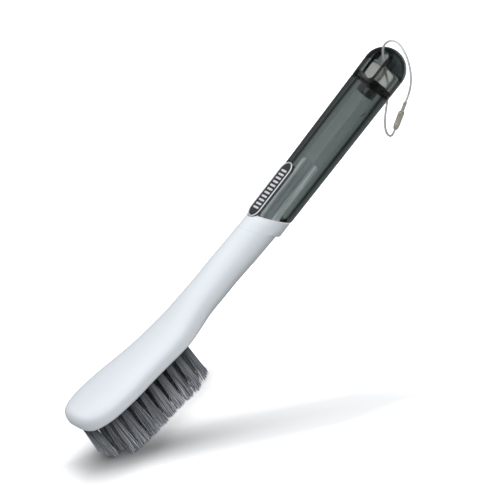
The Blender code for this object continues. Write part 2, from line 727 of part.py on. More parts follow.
def loop_hardware(steel, swing):
    """The screw barrel, the ferrule held inside it and the ferrule with the thread."""
    start = BARREL_WIRE_END
    end = FERRULE_WIRE_END
    along = (end - start).normalized()
    barrel_axis = bpy.data.objects.new("barrel_axis", None)
    bpy.context.scene.collection.objects.link(barrel_axis)
    barrel_axis.location = start - SWING_LOW
    barrel_axis.parent = swing
    knurl_start = BARREL_LENGTH * KNURL_START_SHARE
    barrel = turned("screw_barrel", start, end, [
        (0.0, BARREL_LIP_RADIUS, False),
        (0.0, BARREL_END_RADIUS, False),
        (BARREL_LIP, BARREL_END_RADIUS + (BARREL_RADIUS - BARREL_END_RADIUS) / 2, False),
        (knurl_start, BARREL_RADIUS, False),
        (knurl_start + BARREL_LIP / 4, BARREL_RADIUS, True),
        (BARREL_LENGTH - BARREL_LIP / 2, BARREL_RADIUS, True),
        (BARREL_LENGTH - BARREL_LIP / 4, BARREL_RADIUS - BARREL_KNURL_DEPTH, False),
        (BARREL_LENGTH, BARREL_RADIUS - 2 * BARREL_KNURL_DEPTH, False),
        (BARREL_LENGTH, BARREL_BORE_RADIUS, False),
        (BARREL_LIP, BARREL_BORE_RADIUS, False),
        (BARREL_LIP, BARREL_LIP_RADIUS, False),
    ], BARREL_POINTS, steel, BARREL_KNURL_DEPTH, closed=True)
    barrel.parent = barrel_axis
    inner = turned("plain_ferrule", start, end, [
        (BARREL_LIP + GAP, INNER_FERRULE_RADIUS, False),
        (BARREL_LIP + GAP + INNER_FERRULE_LENGTH, INNER_FERRULE_RADIUS, False),
    ], FERRULE_POINTS, steel)
    inner.parent = swing
    inner.location = start - SWING_LOW
    whole = (end - start).length
    ferrule = turned("threaded_ferrule", start, end, [
        (BARREL_LENGTH - STUD_LENGTH, STUD_RADIUS - GAP, False),
        (BARREL_LENGTH - STUD_LENGTH + GAP, STUD_RADIUS, False),
        (BARREL_LENGTH + GAP, STUD_RADIUS, False),
        (BARREL_LENGTH + GAP, FERRULE_RADIUS, False),
        (whole - GAP, FERRULE_RADIUS, False),
    ], FERRULE_POINTS, steel)
    ferrule.parent = swing
    ferrule.location = start - SWING_LOW
    print(f"rigid closure {whole * 1000:.1f} mm along {tuple(round(v, 4) for v in along)}")


def build():
    clear_scene()
    white = material("white_plastic", (0.86, 0.88, 0.91), 0.22)
    smoke = material("smoke_clear_plastic", (0.15, 0.17, 0.17), 0.08, 0.0, 0.8)
    chrome = material("badge_chrome", (0.80, 0.80, 0.82), 0.12, 1.0)
    dark = material("badge_dark", (0.06, 0.06, 0.07), 0.35, 0.4)
    foam = material("adhesive_foam", (0.75, 0.75, 0.72), 0.9)
    nylon = material("grey_nylon", (0.22, 0.23, 0.25), 0.5)
    steel = material("loop_steel", (0.62, 0.61, 0.58), 0.3, 1.0)
    head_and_neck(white)
    handle_tube(smoke)
    end_cap(smoke)
    badge_bezel(chrome)
    badge_plate(dark)
    badge_pad(foam)
    for row, number, x, y in tuft_places():
        tuft(row, number, x, y, nylon)
    swing = bpy.data.objects.new("loop_swing_axis", None)
    bpy.context.scene.collection.objects.link(swing)
    swing.location = SWING_LOW
    wire_cable(steel, swing)
    loop_hardware(steel, swing)


build()
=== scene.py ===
# %% [markdown]
# # A shoe brush, dressed for a studio picture
#
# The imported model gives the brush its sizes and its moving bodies. This lesson lays finer pieces
# over it: a smooth white moulding, a clear smoke grey tube, a domed cap with a slot, a badge,
# tufts of separate filaments and a twisted wire loop. Every length is in metres.

import random
from math import asin, copysign, cos, hypot, pi, radians, sin, sqrt, tan, tau

import bmesh
import bpy
from mathutils import Matrix, Vector


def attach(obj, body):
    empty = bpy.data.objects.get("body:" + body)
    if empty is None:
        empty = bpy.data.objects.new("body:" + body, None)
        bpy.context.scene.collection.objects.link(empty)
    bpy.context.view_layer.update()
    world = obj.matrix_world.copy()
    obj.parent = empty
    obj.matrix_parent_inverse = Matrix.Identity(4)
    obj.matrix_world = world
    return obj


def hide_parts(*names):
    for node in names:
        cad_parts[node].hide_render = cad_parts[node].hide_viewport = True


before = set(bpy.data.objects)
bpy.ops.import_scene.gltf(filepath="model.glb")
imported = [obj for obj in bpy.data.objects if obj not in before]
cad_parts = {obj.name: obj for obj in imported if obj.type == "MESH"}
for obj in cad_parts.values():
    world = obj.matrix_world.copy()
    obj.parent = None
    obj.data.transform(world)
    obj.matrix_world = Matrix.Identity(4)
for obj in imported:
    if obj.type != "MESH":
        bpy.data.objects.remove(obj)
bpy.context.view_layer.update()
random.seed(11)
print("nodes:", len(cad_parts))

# %% [markdown]
# ## Sizes of the real brush
#
# The finer pieces have to lie exactly where the model's solids are, so the same sizes are set here
# by name. The head lies level. The handle rises from it and has directions of its own: along it,
# above it and to its side. A size that only one piece needs is set where that piece is made.

# %% Sizes that place the head, the neck and the handle
GAP = 0.0003
HEAD_LENGTH = 0.0775
HEAD_WIDTH = 0.044
HEAD_THICKNESS = 0.012
BRISTLE_LENGTH = 0.025
NECK_LENGTH = 0.0852
NECK_RISE = 0.0119
HANDLE_TILT = radians(11.13)
JOINT_SLANT = radians(25.8)
TUBE_LENGTH = 0.0932
JOINT_RADIUS = 0.0116
SEAM_RADIUS = 0.0126
BORE_RADIUS = 0.0061
CAP_LENGTH = 0.0265
CAP_RADIUS = 0.0128
CAP_DOME_LENGTH = 0.0126
print("head, neck, tube and cap:", HEAD_LENGTH, NECK_LENGTH, TUBE_LENGTH, CAP_LENGTH, "m long")

# %% Places that follow from the sizes
dome_reach = hypot(CAP_DOME_LENGTH * cos(HANDLE_TILT), CAP_RADIUS * sin(HANDLE_TILT))
handle_reach = (TUBE_LENGTH + CAP_LENGTH - CAP_DOME_LENGTH) * cos(HANDLE_TILT) + dome_reach
NOSE_X = -(HEAD_LENGTH + NECK_LENGTH + handle_reach) / 2
HEEL_X = NOSE_X + HEAD_LENGTH
HEAD_MIDDLE_Z = BRISTLE_LENGTH + HEAD_THICKNESS / 2
JOINT = Vector((HEEL_X + NECK_LENGTH, 0.0, HEAD_MIDDLE_Z + NECK_RISE))
ALONG = Vector((cos(HANDLE_TILT), 0.0, sin(HANDLE_TILT)))
ABOVE = Vector((-sin(HANDLE_TILT), 0.0, cos(HANDLE_TILT)))
SIDE = Vector((0.0, 1.0, 0.0))
SEAM = JOINT + ALONG * TUBE_LENGTH
print("overall length:", round(-2 * NOSE_X * 1000, 1), "mm")

# %% [markdown]
# ## The camera
#
# The photograph was taken from far away with a long lens, so lines that are parallel on the brush
# stay parallel in the picture. A camera six metres off with a very long lens does the same. Its
# three directions were measured from the slant of the joint, the badge and the tufts.

# %% Camera
CAMERA_RIGHT = Vector((0.72293, -0.45059, -0.52377))
CAMERA_UP = Vector((0.66281, 0.23823, 0.70988))
CAMERA_BACK = CAMERA_RIGHT.cross(CAMERA_UP).normalized()
PICTURE_WIDTH = 0.28313
PICTURE_CENTRE = Vector((-0.0033, 0.0, 0.0))
PICTURE_SHIFT = (-0.01484, 0.02911, 0.015)
CAMERA_DISTANCE = 6.0
CAMERA_RANGE = 30.0
SENSOR_WIDTH = 36.0
picture_middle = PICTURE_CENTRE + CAMERA_RIGHT * PICTURE_SHIFT[0] + CAMERA_UP * PICTURE_SHIFT[1]
picture_middle += CAMERA_BACK * PICTURE_SHIFT[2]

camera_data = bpy.data.cameras.new("studio_camera")
camera_data.sensor_width = SENSOR_WIDTH
camera_data.lens = SENSOR_WIDTH * CAMERA_DISTANCE / PICTURE_WIDTH
camera_data.clip_end = CAMERA_RANGE
camera = bpy.data.objects.new("studio_camera", camera_data)
bpy.context.scene.collection.objects.link(camera)
turn = Matrix((CAMERA_RIGHT, CAMERA_UP, CAMERA_BACK)).transposed()
camera.matrix_world = Matrix.Translation(picture_middle + CAMERA_BACK * CAMERA_DISTANCE) @ turn.to_4x4()
bpy.context.scene.camera = camera
print("lens:", round(camera_data.lens), "mm")

# %% [markdown]
# ## Skins over rings
#
# Most pieces here are turned or moulded, so each is a row of closed rings with a skin between
# them. A ring that lies between an ellipse and a rounded box is drawn with one power. Vertices are
# counted from the rings alone, which makes the faces easy to number.

# %% Rings
def signed_power(value, power):
    return copysign(abs(value) ** power, value)


def oval_ring(centre, half_width, half_height, above, top_power=2.0, face_power=2.0, count=96,
              waist=0.5):
    """An oval ring whose widest line lies at a share of its height, its waist."""
    ring = []
    widest = half_height * (2 * waist - 1)
    for index in range(count):
        angle = tau * index / count
        power = top_power if sin(angle) >= 0 else face_power
        across = half_width * signed_power(cos(angle), 2 / power)
        reach = half_height - widest if sin(angle) >= 0 else half_height + widest
        up = widest + reach * signed_power(sin(angle), 2 / power)
        ring.append(centre + SIDE * across + above * up)
    return ring


def spoked_ring(centre, across, above, spokes):
    """A ring of points from rows of (angle, reach) round a centre."""
    return [centre + across * (reach * cos(angle)) + above * (reach * sin(angle))
            for angle, reach in spokes]


print("points in a plain oval ring:", len(oval_ring(Vector(), 1.0, 1.0, ABOVE)))

# %% Skins
SMOOTH_ANGLE = radians(35)


def skin(rings, closed=False):
    """Vertices and faces of a skin over rings: shut at both ends, or joined last to first."""
    count = len(rings[0])
    points = [tuple(point) for ring in rings for point in ring]
    faces = []
    for row in range(len(rings) if closed else len(rings) - 1):
        near, far = row * count, (row + 1) % len(rings) * count
        for index in range(count):
            after = (index + 1) % count
            faces.append((near + index, near + after, far + after, far + index))
    if not closed:
        faces.append(tuple(reversed(range(count))))
        faces.append(tuple(range((len(rings) - 1) * count, len(rings) * count)))
    return points, faces


def merged(*skins):
    """Several skins as one list of vertices and faces."""
    points, faces = [], []
    for more_points, more_faces in skins:
        start = len(points)
        points += more_points
        faces += [tuple(start + index for index in face) for face in more_faces]
    return points, faces


def make_object(name, skins, smooth_angle=SMOOTH_ANGLE):
    mesh = bpy.data.meshes.new(name)
    mesh.from_pydata(skins[0], [], skins[1])
    shape = bmesh.new()
    shape.from_mesh(mesh)
    bmesh.ops.recalc_face_normals(shape, faces=shape.faces)
    shape.to_mesh(mesh)
    shape.free()
    mesh.shade_smooth()
    mesh.set_sharp_from_angle(angle=smooth_angle)
    made = bpy.data.objects.new(name, mesh)
    bpy.context.scene.collection.objects.link(made)
    return made

# %% Cutting and dressing
def carve(body, cutters):
    """Cut closed shapes out of a body, keep the result as a plain mesh and drop the cutters."""
    for index, cutter in enumerate(cutters):
        step = body.modifiers.new(f"cut_{index}", "BOOLEAN")
        step.operation = "DIFFERENCE"
        step.solver = "EXACT"
        step.object = cutter
    bpy.context.view_layer.update()
    result = bpy.data.meshes.new_from_object(body.evaluated_get(bpy.context.evaluated_depsgraph_get()))
    body.modifiers.clear()
    body.data = result
    result.shade_smooth()
    result.set_sharp_from_angle(angle=SMOOTH_ANGLE)
    for cutter in cutters:
        bpy.data.objects.remove(cutter, do_unlink=True)
    print(body.name, "after the cuts has", len(result.polygons), "faces")


def dress(piece, finish, body, slot, *nodes):
    """Give a piece its finish and its body, and hide the model's nodes that it stands for. The slot is
    not used.
    """
    piece.data.materials.clear()
    piece.data.materials.append(finish)
    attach(piece, body)
    if nodes:
        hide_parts(*nodes)
    print(piece.name, "rides on", body, "with", len(piece.data.polygons), "faces")

# %% [markdown]
# ## Shader maths as plain expressions
#
# A finish is a graph of nodes, and long graphs are hard to read as calls. The small class below
# wraps one socket, so that sums on values add their Math nodes by themselves. Any other node comes
# from one method that takes its type, its settings and its inputs.

# %% A value in a node tree
def operator(kind, turned=False):
    """A method that adds one Math node, with its two terms turned round for the reflected form."""
    def apply(self, other):
        return self.maths(kind, other, self) if turned else self.maths(kind, self, other)
    return apply


class Value:
    """One socket's output, on which plain sums can be done."""

    def __init__(self, graph, socket):
        self.graph = graph
        self.socket = socket

    def maths(self, kind, *terms):
        return self.graph.node("ShaderNodeMath", {"operation": kind}, dict(enumerate(terms)))

    __add__, __radd__ = operator("ADD"), operator("ADD", turned=True)
    __sub__, __rsub__ = operator("SUBTRACT"), operator("SUBTRACT", turned=True)
    __mul__, __rmul__ = operator("MULTIPLY"), operator("MULTIPLY", turned=True)
    __truediv__, __rtruediv__ = operator("DIVIDE"), operator("DIVIDE", turned=True)
    __pow__, __rpow__ = operator("POWER"), operator("POWER", turned=True)

    def __abs__(self):
        return self.maths("ABSOLUTE", self)

    def clamped(self):
        return self.graph.node("ShaderNodeClamp", {}, {0: self})

    def past(self, edge, fade):
        """0 up to an edge, then 1 after a short fade."""
        return ((self - edge) / fade).clamped()

    def short_of(self, edge, fade):
        """1 up to a short fade before an edge, then 0 from the edge on."""
        return ((edge - self) / fade).clamped()

    def from_to(self, low, high):
        """One number where the value is 0 and another where it is 1."""
        return self * (high - low) + low

# %% Node trees, and the material that holds one
class Graph:
    """A node tree, for a material or for the world."""

    def __init__(self, tree):
        self.tree = tree

    def put(self, socket, value):
        if isinstance(value, Value):
            self.tree.links.new(value.socket, socket)
        elif isinstance(value, (tuple, list)) and len(value) == 3 and socket.type == "RGBA":
            socket.default_value = (*value, 1.0)
        else:
            socket.default_value = value

    def node(self, kind, settings=None, inputs=None, output=0):
        made = self.tree.nodes.new(kind)
        for key, value in (settings or {}).items():
            if key == "stops":
                for element, (place, colour) in zip(made.color_ramp.elements, value):
                    element.position = place
                    element.color = (*colour, 1.0)
            else:
                setattr(made, key, value)
        for key, value in (inputs or {}).items():
            self.put(made.inputs[key], value)
        return Value(self, made.outputs[output])

    def mixed(self, factor, first, second):
        return self.node("ShaderNodeMix", {"data_type": "RGBA"}, {0: factor, 6: first, 7: second}, 2)

    def ray(self, kind):
        """1 for rays of one kind and 0 for the rest."""
        return self.node("ShaderNodeLightPath", output=f"Is {kind} Ray")


class Paint(Graph):
    """A material with one main surface."""

    def __init__(self, name):
        self.material = bpy.data.materials.new(name)
        self.material.use_nodes = True
        super().__init__(self.material.node_tree)
        self.shader = self.tree.nodes["Principled BSDF"]
        self.output = self.tree.nodes["Material Output"]

    def surface(self, **sockets):
        for name, value in sockets.items():
            self.put(self.shader.inputs[name.replace("_", " ")], value)
        print(self.material.name, "has", len(self.tree.nodes), "nodes")

    def worn(self, scale, detail, greys, roughness, bump=None, **sockets):
        """Let one noise mix two greys, shift the roughness and, if asked, raise a fine bump."""
        wear = self.noise(scale, detail)
        if bump:
            sockets["Normal"] = self.bump(wear, *bump)
        self.surface(Base_Color=self.mixed(wear, *greys), Roughness=wear.from_to(*roughness), **sockets)

    def covered(self, factor, **sockets):
        """Lay a second surface over the first where the factor is high."""
        cover = self.node("ShaderNodeBsdfPrincipled", {}, {
            name.replace("_", " "): value for name, value in sockets.items()})
        bare = Value(self, self.shader.outputs[0])
        both = self.node("ShaderNodeMixShader", {}, {0: factor, 1: bare, 2: cover})
        self.put(self.output.inputs["Surface"], both)

    def place(self):
        return self.node("ShaderNodeTexCoord", output="Object")

    def noise(self, scale, detail=3.0, where=None):
        return self.node("ShaderNodeTexNoise", {}, {
            "Vector": where or self.place(), "Scale": scale, "Detail": detail, "Roughness": 0.55})

    def from_point(self, point):
        return self.node("ShaderNodeVectorMath", {"operation": "SUBTRACT"}, {
            0: self.place(), 1: tuple(point)})

    def along_line(self, point, direction):
        """How far a place lies from a point, measured in one direction."""
        return self.node("ShaderNodeVectorMath", {"operation": "DOT_PRODUCT"}, {
            0: self.from_point(point), 1: tuple(direction)}, "Value")

    def off_line(self, point, direction):
        """How far a place lies from a line."""
        turned = self.node("ShaderNodeVectorMath", {"operation": "CROSS_PRODUCT"}, {
            0: self.from_point(point), 1: tuple(direction)})
        return self.node("ShaderNodeVectorMath", {"operation": "LENGTH"}, {0: turned}, "Value")

    def bump(self, height, strength, distance):
        return self.node("ShaderNodeBump", {}, {
            "Height": height, "Strength": strength, "Distance": distance})

# %% [markdown]
# ## The wire loop
#
# The loop is a thin rope of steel strands. Its real length is fixed, so its route is settled first:
# from the barrel, round under the cap, up through the slot, over the cap and back to the ferrule.
# The photograph shows all of it. The rope is a six lobed ring that turns as it goes, which draws
# the lay of the strands with real shape and not with a bump.

# %% The route that the wire follows
WIRE_RADIUS = 0.0007
WIRE_ROUTE = (
    (0.1066, -0.0224, 0.0424),
    (0.1057, -0.0220, 0.0417),
    (0.1041, -0.0214, 0.0403),
    (0.1033, -0.0149, 0.0366),
    (0.1051, -0.0053, 0.0358),
    (0.1112, 0.0042, 0.0365),
    (0.1179, 0.0111, 0.0382),
    (0.1241, 0.0135, 0.0420),
    (0.1254, 0.0087, 0.0489),
    (0.1263, 0.0048, 0.0547),
    (0.1274, -0.0007, 0.0629),
    (0.1287, -0.0063, 0.0712),
    (0.1295, -0.0102, 0.0770),
    (0.1310, -0.0161, 0.0841),
    (0.1345, -0.0227, 0.0874),
    (0.1364, -0.0287, 0.0857),
    (0.1345, -0.0338, 0.0797),
    (0.1314, -0.0359, 0.0725),
    (0.1273, -0.0352, 0.0649),
    (0.1241, -0.0291, 0.0572),
    (0.1208, -0.0278, 0.0544),
    (0.1197, -0.0274, 0.0535),
)
BARREL_END, FERRULE_END = Vector(WIRE_ROUTE[0]), Vector(WIRE_ROUTE[-1])
ROUTE_PARTS = 24
ROPE_RING_STEP = 0.00035
ROPE_LAY = 0.0105
ROPE_STRANDS = 6
ROPE_VALLEY = 0.11


def smooth_route(points, step):
    """Places a step apart on the cubic spline that the route's points steer."""
    steer = [Vector(point) for point in points]
    steer = [2 * steer[0] - steer[1]] + steer + [2 * steer[-1] - steer[-2]]
    fine = []
    for index in range(len(steer) - 3):
        a, b, c, d = steer[index:index + 4]
        for part in range(ROUTE_PARTS):
            t = part / ROUTE_PARTS
            fine.append((a * (1 - t) ** 3 + b * (3 * t ** 3 - 6 * t ** 2 + 4)
                         + c * (-3 * t ** 3 + 3 * t ** 2 + 3 * t + 1) + d * t ** 3) / 6)
    fine.append(Vector(points[-1]))
    lengths = [0.0]
    for near, far in zip(fine, fine[1:]):
        lengths.append(lengths[-1] + (far - near).length)
    count = round(lengths[-1] / step)
    places, spot = [], 1
    for index in range(count + 1):
        target = lengths[-1] * index / count
        while spot < len(lengths) - 1 and lengths[spot] < target:
            spot += 1
        span = lengths[spot] - lengths[spot - 1]
        places.append(fine[spot - 1].lerp(fine[spot], (target - lengths[spot - 1]) / span))
    return places, lengths[-1]


wire_places, wire_length = smooth_route(WIRE_ROUTE, ROPE_RING_STEP)
print("wire length:", round(wire_length * 1000, 1), "mm")

# %% The rope of six strands
def rope_radius(angle, radius):
    """Reach of a rope whose strands bulge out side by side."""
    return radius * (1 - ROPE_VALLEY * (1 - abs(sin(angle * ROPE_STRANDS / 2))))


def rope_rings(places, radius, lay, count=30):
    """Rings along a route. Their frame goes forward without twist, and the strands turn in it."""
    rings = []
    travelled = 0.0
    across = (places[1] - places[0]).orthogonal().normalized()
    for index, place in enumerate(places):
        ahead = places[min(index + 1, len(places) - 1)] - places[max(index - 1, 0)]
        ahead.normalize()
        across = (across - ahead * across.dot(ahead)).normalized()
        third = ahead.cross(across)
        if index:
            travelled += (place - places[index - 1]).length
        spin = tau * travelled / lay
        angles = [tau * step / count for step in range(count)]
        rings.append(spoked_ring(place, across, third, [
            (angle + spin, rope_radius(angle, radius)) for angle in angles]))
    return rings


twisted_rings = rope_rings(wire_places, WIRE_RADIUS, ROPE_LAY)
print("rings in the rope:", len(twisted_rings))

# %% The finish of the rope
ROPE_GREYS = ((0.66, 0.66, 0.65), (0.92, 0.92, 0.91))
rope_paint = Paint("steel_rope")
rope_paint.worn(900.0, 4.0, ROPE_GREYS, (0.32, 0.52), Metallic=0.3)
rope = make_object("wire_rope", skin(twisted_rings))
dress(rope, rope_paint.material, "loop", "wire_rope", "wire_cable")

# %% [markdown]
# ## The screw barrel and its ferrules
#
# One end of the wire has a plain sleeve that is held inside the barrel. The other has a sleeve
# with a thread, which the barrel screws on to. All three are turned parts, so each is a profile of
# distances and radii spun round the line between the two ends of the wire. Fine flutes give the
# barrel its grip.

# %% Turned pieces on the line between the two ends of the wire
closure_line = FERRULE_END - BARREL_END
CLOSURE_LENGTH = closure_line.length
closure_line.normalize()
closure_across = closure_line.orthogonal().normalized()
closure_third = closure_line.cross(closure_across)
print("from one end of the wire to the other:", round(CLOSURE_LENGTH * 1000, 1), "mm")


def turned_rings(profile, count, flutes=0):
    """Rings from rows of (distance, radius, flute depth)."""
    angles = [tau * index / count for index in range(count)]
    return [spoked_ring(BARREL_END + closure_line * distance, closure_across, closure_third, [
        (angle, radius - depth * (0.5 + 0.5 * cos(angle * flutes))) for angle in angles])
            for distance, radius, depth in profile]


# %% The barrel
BARREL_LENGTH = 0.0112
BARREL_RADIUS = 0.0018
BARREL_END_RADIUS = 0.0013
BARREL_BORE_RADIUS = 0.0013
BARREL_LIP = 0.0012
BARREL_LIP_RADIUS = 0.0009
BARREL_EDGE = 0.0001
BARREL_SHOULDERS = ((1.0, 0.00155), (2.1, 0.00174))
BARREL_ROUNDING = ((0.0003, 0.00004), (0.0, 0.0003))
BARREL_SIDES = 96
GROOVE_HALF = 0.0002
GROOVE_DEPTH = 0.00012
FLUTES = 24
FLUTE_DEPTH = 0.00016
FLUTE_RUN_OUT = 0.0002
FLUTE_START = BARREL_LENGTH * 0.35
FLUTE_END = BARREL_LENGTH - 0.0010
barrel_profile = [
    (0.0, BARREL_LIP_RADIUS, 0.0),
    (0.0, BARREL_END_RADIUS - BARREL_EDGE, 0.0),
    (BARREL_EDGE, BARREL_END_RADIUS, 0.0),
    *((BARREL_LIP * lips, radius, 0.0) for lips, radius in BARREL_SHOULDERS),
    (FLUTE_START - GROOVE_HALF, BARREL_RADIUS, 0.0),
    (FLUTE_START, BARREL_RADIUS - GROOVE_DEPTH, 0.0),
    (FLUTE_START + GROOVE_HALF, BARREL_RADIUS, 0.0),
    (FLUTE_START + GROOVE_HALF + FLUTE_RUN_OUT, BARREL_RADIUS, FLUTE_DEPTH),
    (FLUTE_END, BARREL_RADIUS, FLUTE_DEPTH),
    (FLUTE_END + FLUTE_RUN_OUT, BARREL_RADIUS, 0.0),
    *((BARREL_LENGTH - inset, BARREL_RADIUS - drop, 0.0) for inset, drop in BARREL_ROUNDING),
    (BARREL_LENGTH, BARREL_BORE_RADIUS, 0.0),
    (BARREL_LIP, BARREL_BORE_RADIUS, 0.0),
    (BARREL_LIP, BARREL_LIP_RADIUS, 0.0),
]
PLATING_GREYS = ((0.46, 0.43, 0.37), (0.70, 0.66, 0.58))
barrel_paint = Paint("dull_plating")
barrel_paint.worn(700.0, 5.0, PLATING_GREYS, (0.30, 0.55), (0.25, 0.00005), Metallic=0.5)
barrel_rings = turned_rings(barrel_profile, BARREL_SIDES, FLUTES)
barrel = make_object("grip_barrel", skin(barrel_rings, closed=True))
dress(barrel, barrel_paint.material, "barrel", "plated_steel", "screw_barrel")

# %% Ferrules
STUD_LENGTH = 0.0036
STUD_RADIUS = 0.0010
STUD_CHAMFER = 0.0003
THREAD_INSET = 0.0004
THREAD_TURNS = 10
THREAD_PITCH = 0.00032
THREAD_DEPTH = 0.00012
FERRULE_RADIUS = 0.00105
FERRULE_EDGE = 0.0001
FERRULE_CHAMFER = 0.0002
FERRULE_SIDES = 40
HELD_RADIUS = 0.00103
HELD_LENGTH = 0.0034
CRIMPS = (0.0016, 0.0030, 0.0044)
CRIMP_DEPTH = 0.00012
CRIMP_STEPS = ((-0.0004, 0.0), (-0.0002, CRIMP_DEPTH), (0.0002, CRIMP_DEPTH), (0.0004, 0.0))
stud_start = BARREL_LENGTH - STUD_LENGTH
sleeve_start, sleeve_end = BARREL_LENGTH + GAP, CLOSURE_LENGTH - GAP
held_start = BARREL_LIP + GAP
held_end = held_start + HELD_LENGTH
sleeve_profile = [
    (stud_start, STUD_RADIUS - STUD_CHAMFER, 0.0),
    (stud_start + STUD_CHAMFER, STUD_RADIUS, 0.0),
]
for turn_number in range(THREAD_TURNS):
    groove = stud_start + THREAD_INSET + turn_number * THREAD_PITCH
    sleeve_profile.append((groove, STUD_RADIUS, 0.0))
    sleeve_profile.append((groove + THREAD_PITCH / 2, STUD_RADIUS - THREAD_DEPTH, 0.0))
sleeve_profile += [
    (sleeve_start, STUD_RADIUS, 0.0),
    (sleeve_start, FERRULE_RADIUS - FERRULE_EDGE, 0.0),
    (sleeve_start + FERRULE_EDGE, FERRULE_RADIUS, 0.0),
]
for crimp in CRIMPS:
    for offset, depth in CRIMP_STEPS:
        sleeve_profile.append((BARREL_LENGTH + crimp + offset, FERRULE_RADIUS - depth, 0.0))
sleeve_profile += [
    (sleeve_end - FERRULE_CHAMFER, FERRULE_RADIUS, 0.0),
    (sleeve_end, FERRULE_RADIUS - FERRULE_CHAMFER, 0.0),
]
held_profile = [(place, HELD_RADIUS - drop, 0.0) for place, drop in (
    (held_start, FERRULE_EDGE), (held_start + FERRULE_EDGE, 0.0),
    (held_end - FERRULE_EDGE, 0.0), (held_end, FERRULE_EDGE))]
sleeve = make_object("threaded_sleeve", skin(turned_rings(sleeve_profile, FERRULE_SIDES)))
dress(sleeve, barrel_paint.material, "loop", "plated_steel", "threaded_ferrule")
held_sleeve = make_object("held_sleeve", skin(turned_rings(held_profile, FERRULE_SIDES)))
dress(held_sleeve, barrel_paint.material, "loop", "plated_steel", "plain_ferrule")

# %% [markdown]
# ## The white moulding
#
# The head, the neck and the tang are one glossy white moulding. Its rings pass from the rounded
# nose along the oval head, lift and close up into the neck, and turn to the slant of the joint.
# The holes for the tufts and the seat of the badge are cut afterwards, because a cut keeps its
# edge crisp and leaves the rings simple.

# %% Reading a table
def between(table, place, column=1):
    """Read a table at a place, on a smooth curve through its rows."""
    if place <= table[0][0]:
        return table[0][column]
    if place >= table[-1][0]:
        return table[-1][column]
    index = max(i for i, row in enumerate(table) if row[0] <= place)
    low, high = table[index], table[index + 1]
    before = table[max(index - 1, 0)]
    after = table[min(index + 2, len(table) - 1)]
    span = high[0] - low[0]
    t = (place - low[0]) / span
    slope_low = (high[column] - before[column]) / (high[0] - before[0])
    slope_high = (after[column] - low[column]) / (after[0] - low[0])
    return ((2 * t ** 3 - 3 * t ** 2 + 1) * low[column] + (t ** 3 - 2 * t ** 2 + t) * span * slope_low
            + (3 * t ** 2 - 2 * t ** 3) * high[column] + (t ** 3 - t ** 2) * span * slope_high)


print("half way along a plain table:", between(((0.0, 0.0), (1.0, 1.0)), 0.5))

# %% The head
NOSE_LENGTH = 0.0235
NOSE_ROUNDING = 0.0058
NOSE_POWER = 2.35
HEAD_TOP_POWER = 2.5
HEAD_FACE_POWER = 7.0
HEAD_WAIST = 0.38
HEAD_WIDTHS = (
    (0.303, 1.0), (0.40, 0.995), (0.50, 0.962), (0.60, 0.905), (0.70, 0.862), (0.80, 0.832),
    (0.90, 0.808), (1.0, 0.770),
)
HEAD_RISE = ((0.0, 0.0), (0.72, 0.0), (0.86, 0.014), (1.0, 0.059))


def head_half_width(distance):
    if distance < NOSE_LENGTH:
        back = 1 - distance / NOSE_LENGTH
        return HEAD_WIDTH / 2 * (1 - back ** NOSE_POWER) ** (1 / NOSE_POWER)
    return HEAD_WIDTH / 2 * between(HEAD_WIDTHS, distance / HEAD_LENGTH)


def head_rings(nose_stations=18, stations=72):
    rings = []
    places = [NOSE_ROUNDING * (1 - cos(pi / 2 * (i + 0.5) / nose_stations))
              for i in range(nose_stations)]
    places += [NOSE_ROUNDING + (HEAD_LENGTH - NOSE_ROUNDING) * (i + 0.5) / stations
               for i in range(stations)]
    for distance in places:
        roundness = 1.0
        if distance < NOSE_ROUNDING:
            roundness = sqrt(1 - (1 - distance / NOSE_ROUNDING) ** 2)
        rise = NECK_RISE * between(HEAD_RISE, distance / HEAD_LENGTH)
        centre = Vector((NOSE_X + distance, 0.0, HEAD_MIDDLE_Z + rise))
        rings.append(oval_ring(centre, head_half_width(distance),
                               HEAD_THICKNESS / 2 * roundness + rise, Vector((0.0, 0.0, 1.0)),
                               HEAD_TOP_POWER, HEAD_FACE_POWER, waist=HEAD_WAIST))
    return rings


body_rings = head_rings()
print("rings in the head:", len(body_rings))

# %% The neck
NECK_RADIUS = 0.0112
NECK_SECTIONS = (
    (0.0, 0.059, 1.512, 0.598),
    (0.0693, 0.101, 1.390, 0.652),
    (0.2277, 0.250, 1.175, 0.748),
    (0.3873, 0.404, 1.071, 0.804),
    (0.5469, 0.588, 1.027, 0.848),
    (0.7066, 0.735, 1.0, 0.893),
    (0.8770, 0.925, 1.0, 0.930),
)
NECK_POWERS = ((0.0, 2.5), (0.15, 2.4), (0.4, 2.2), (0.6, 2.05), (0.8, 2.0), (1.0, 2.0))
NECK_WAISTS = ((0.0, HEAD_WAIST), (0.40, 0.5), (1.0, 0.5))
NECK_FACE_SHARE = 0.30
NECK_SLANT_SHARE = 0.55


def neck_rings(stations=72):
    """Rings from rows of (share of the neck, rise, half width, half height)."""
    rings = []
    last = NECK_SECTIONS[-1][0]
    for index in range(stations):
        place = last * index / (stations - 1)
        lean = HANDLE_TILT * place / last
        along = Vector((cos(lean), 0.0, sin(lean)))
        above = Vector((-sin(lean), 0.0, cos(lean)))
        turned_share = max(0.0, (place / last - NECK_SLANT_SHARE) / (1 - NECK_SLANT_SHARE))
        above -= along * (tan(JOINT_SLANT) * turned_share)
        centre = Vector((HEEL_X + NECK_LENGTH * place, 0.0,
                         HEAD_MIDDLE_Z + NECK_RISE * between(NECK_SECTIONS, place, 1)))
        power = between(NECK_POWERS, place)
        fade = max(0.0, 1 - place / NECK_FACE_SHARE)
        face_power = power + (HEAD_FACE_POWER - power) * fade ** 2
        rings.append(oval_ring(centre, NECK_RADIUS * between(NECK_SECTIONS, place, 2),
                               NECK_RADIUS * between(NECK_SECTIONS, place, 3), above, power,
                               face_power, waist=between(NECK_WAISTS, place)))
    return rings


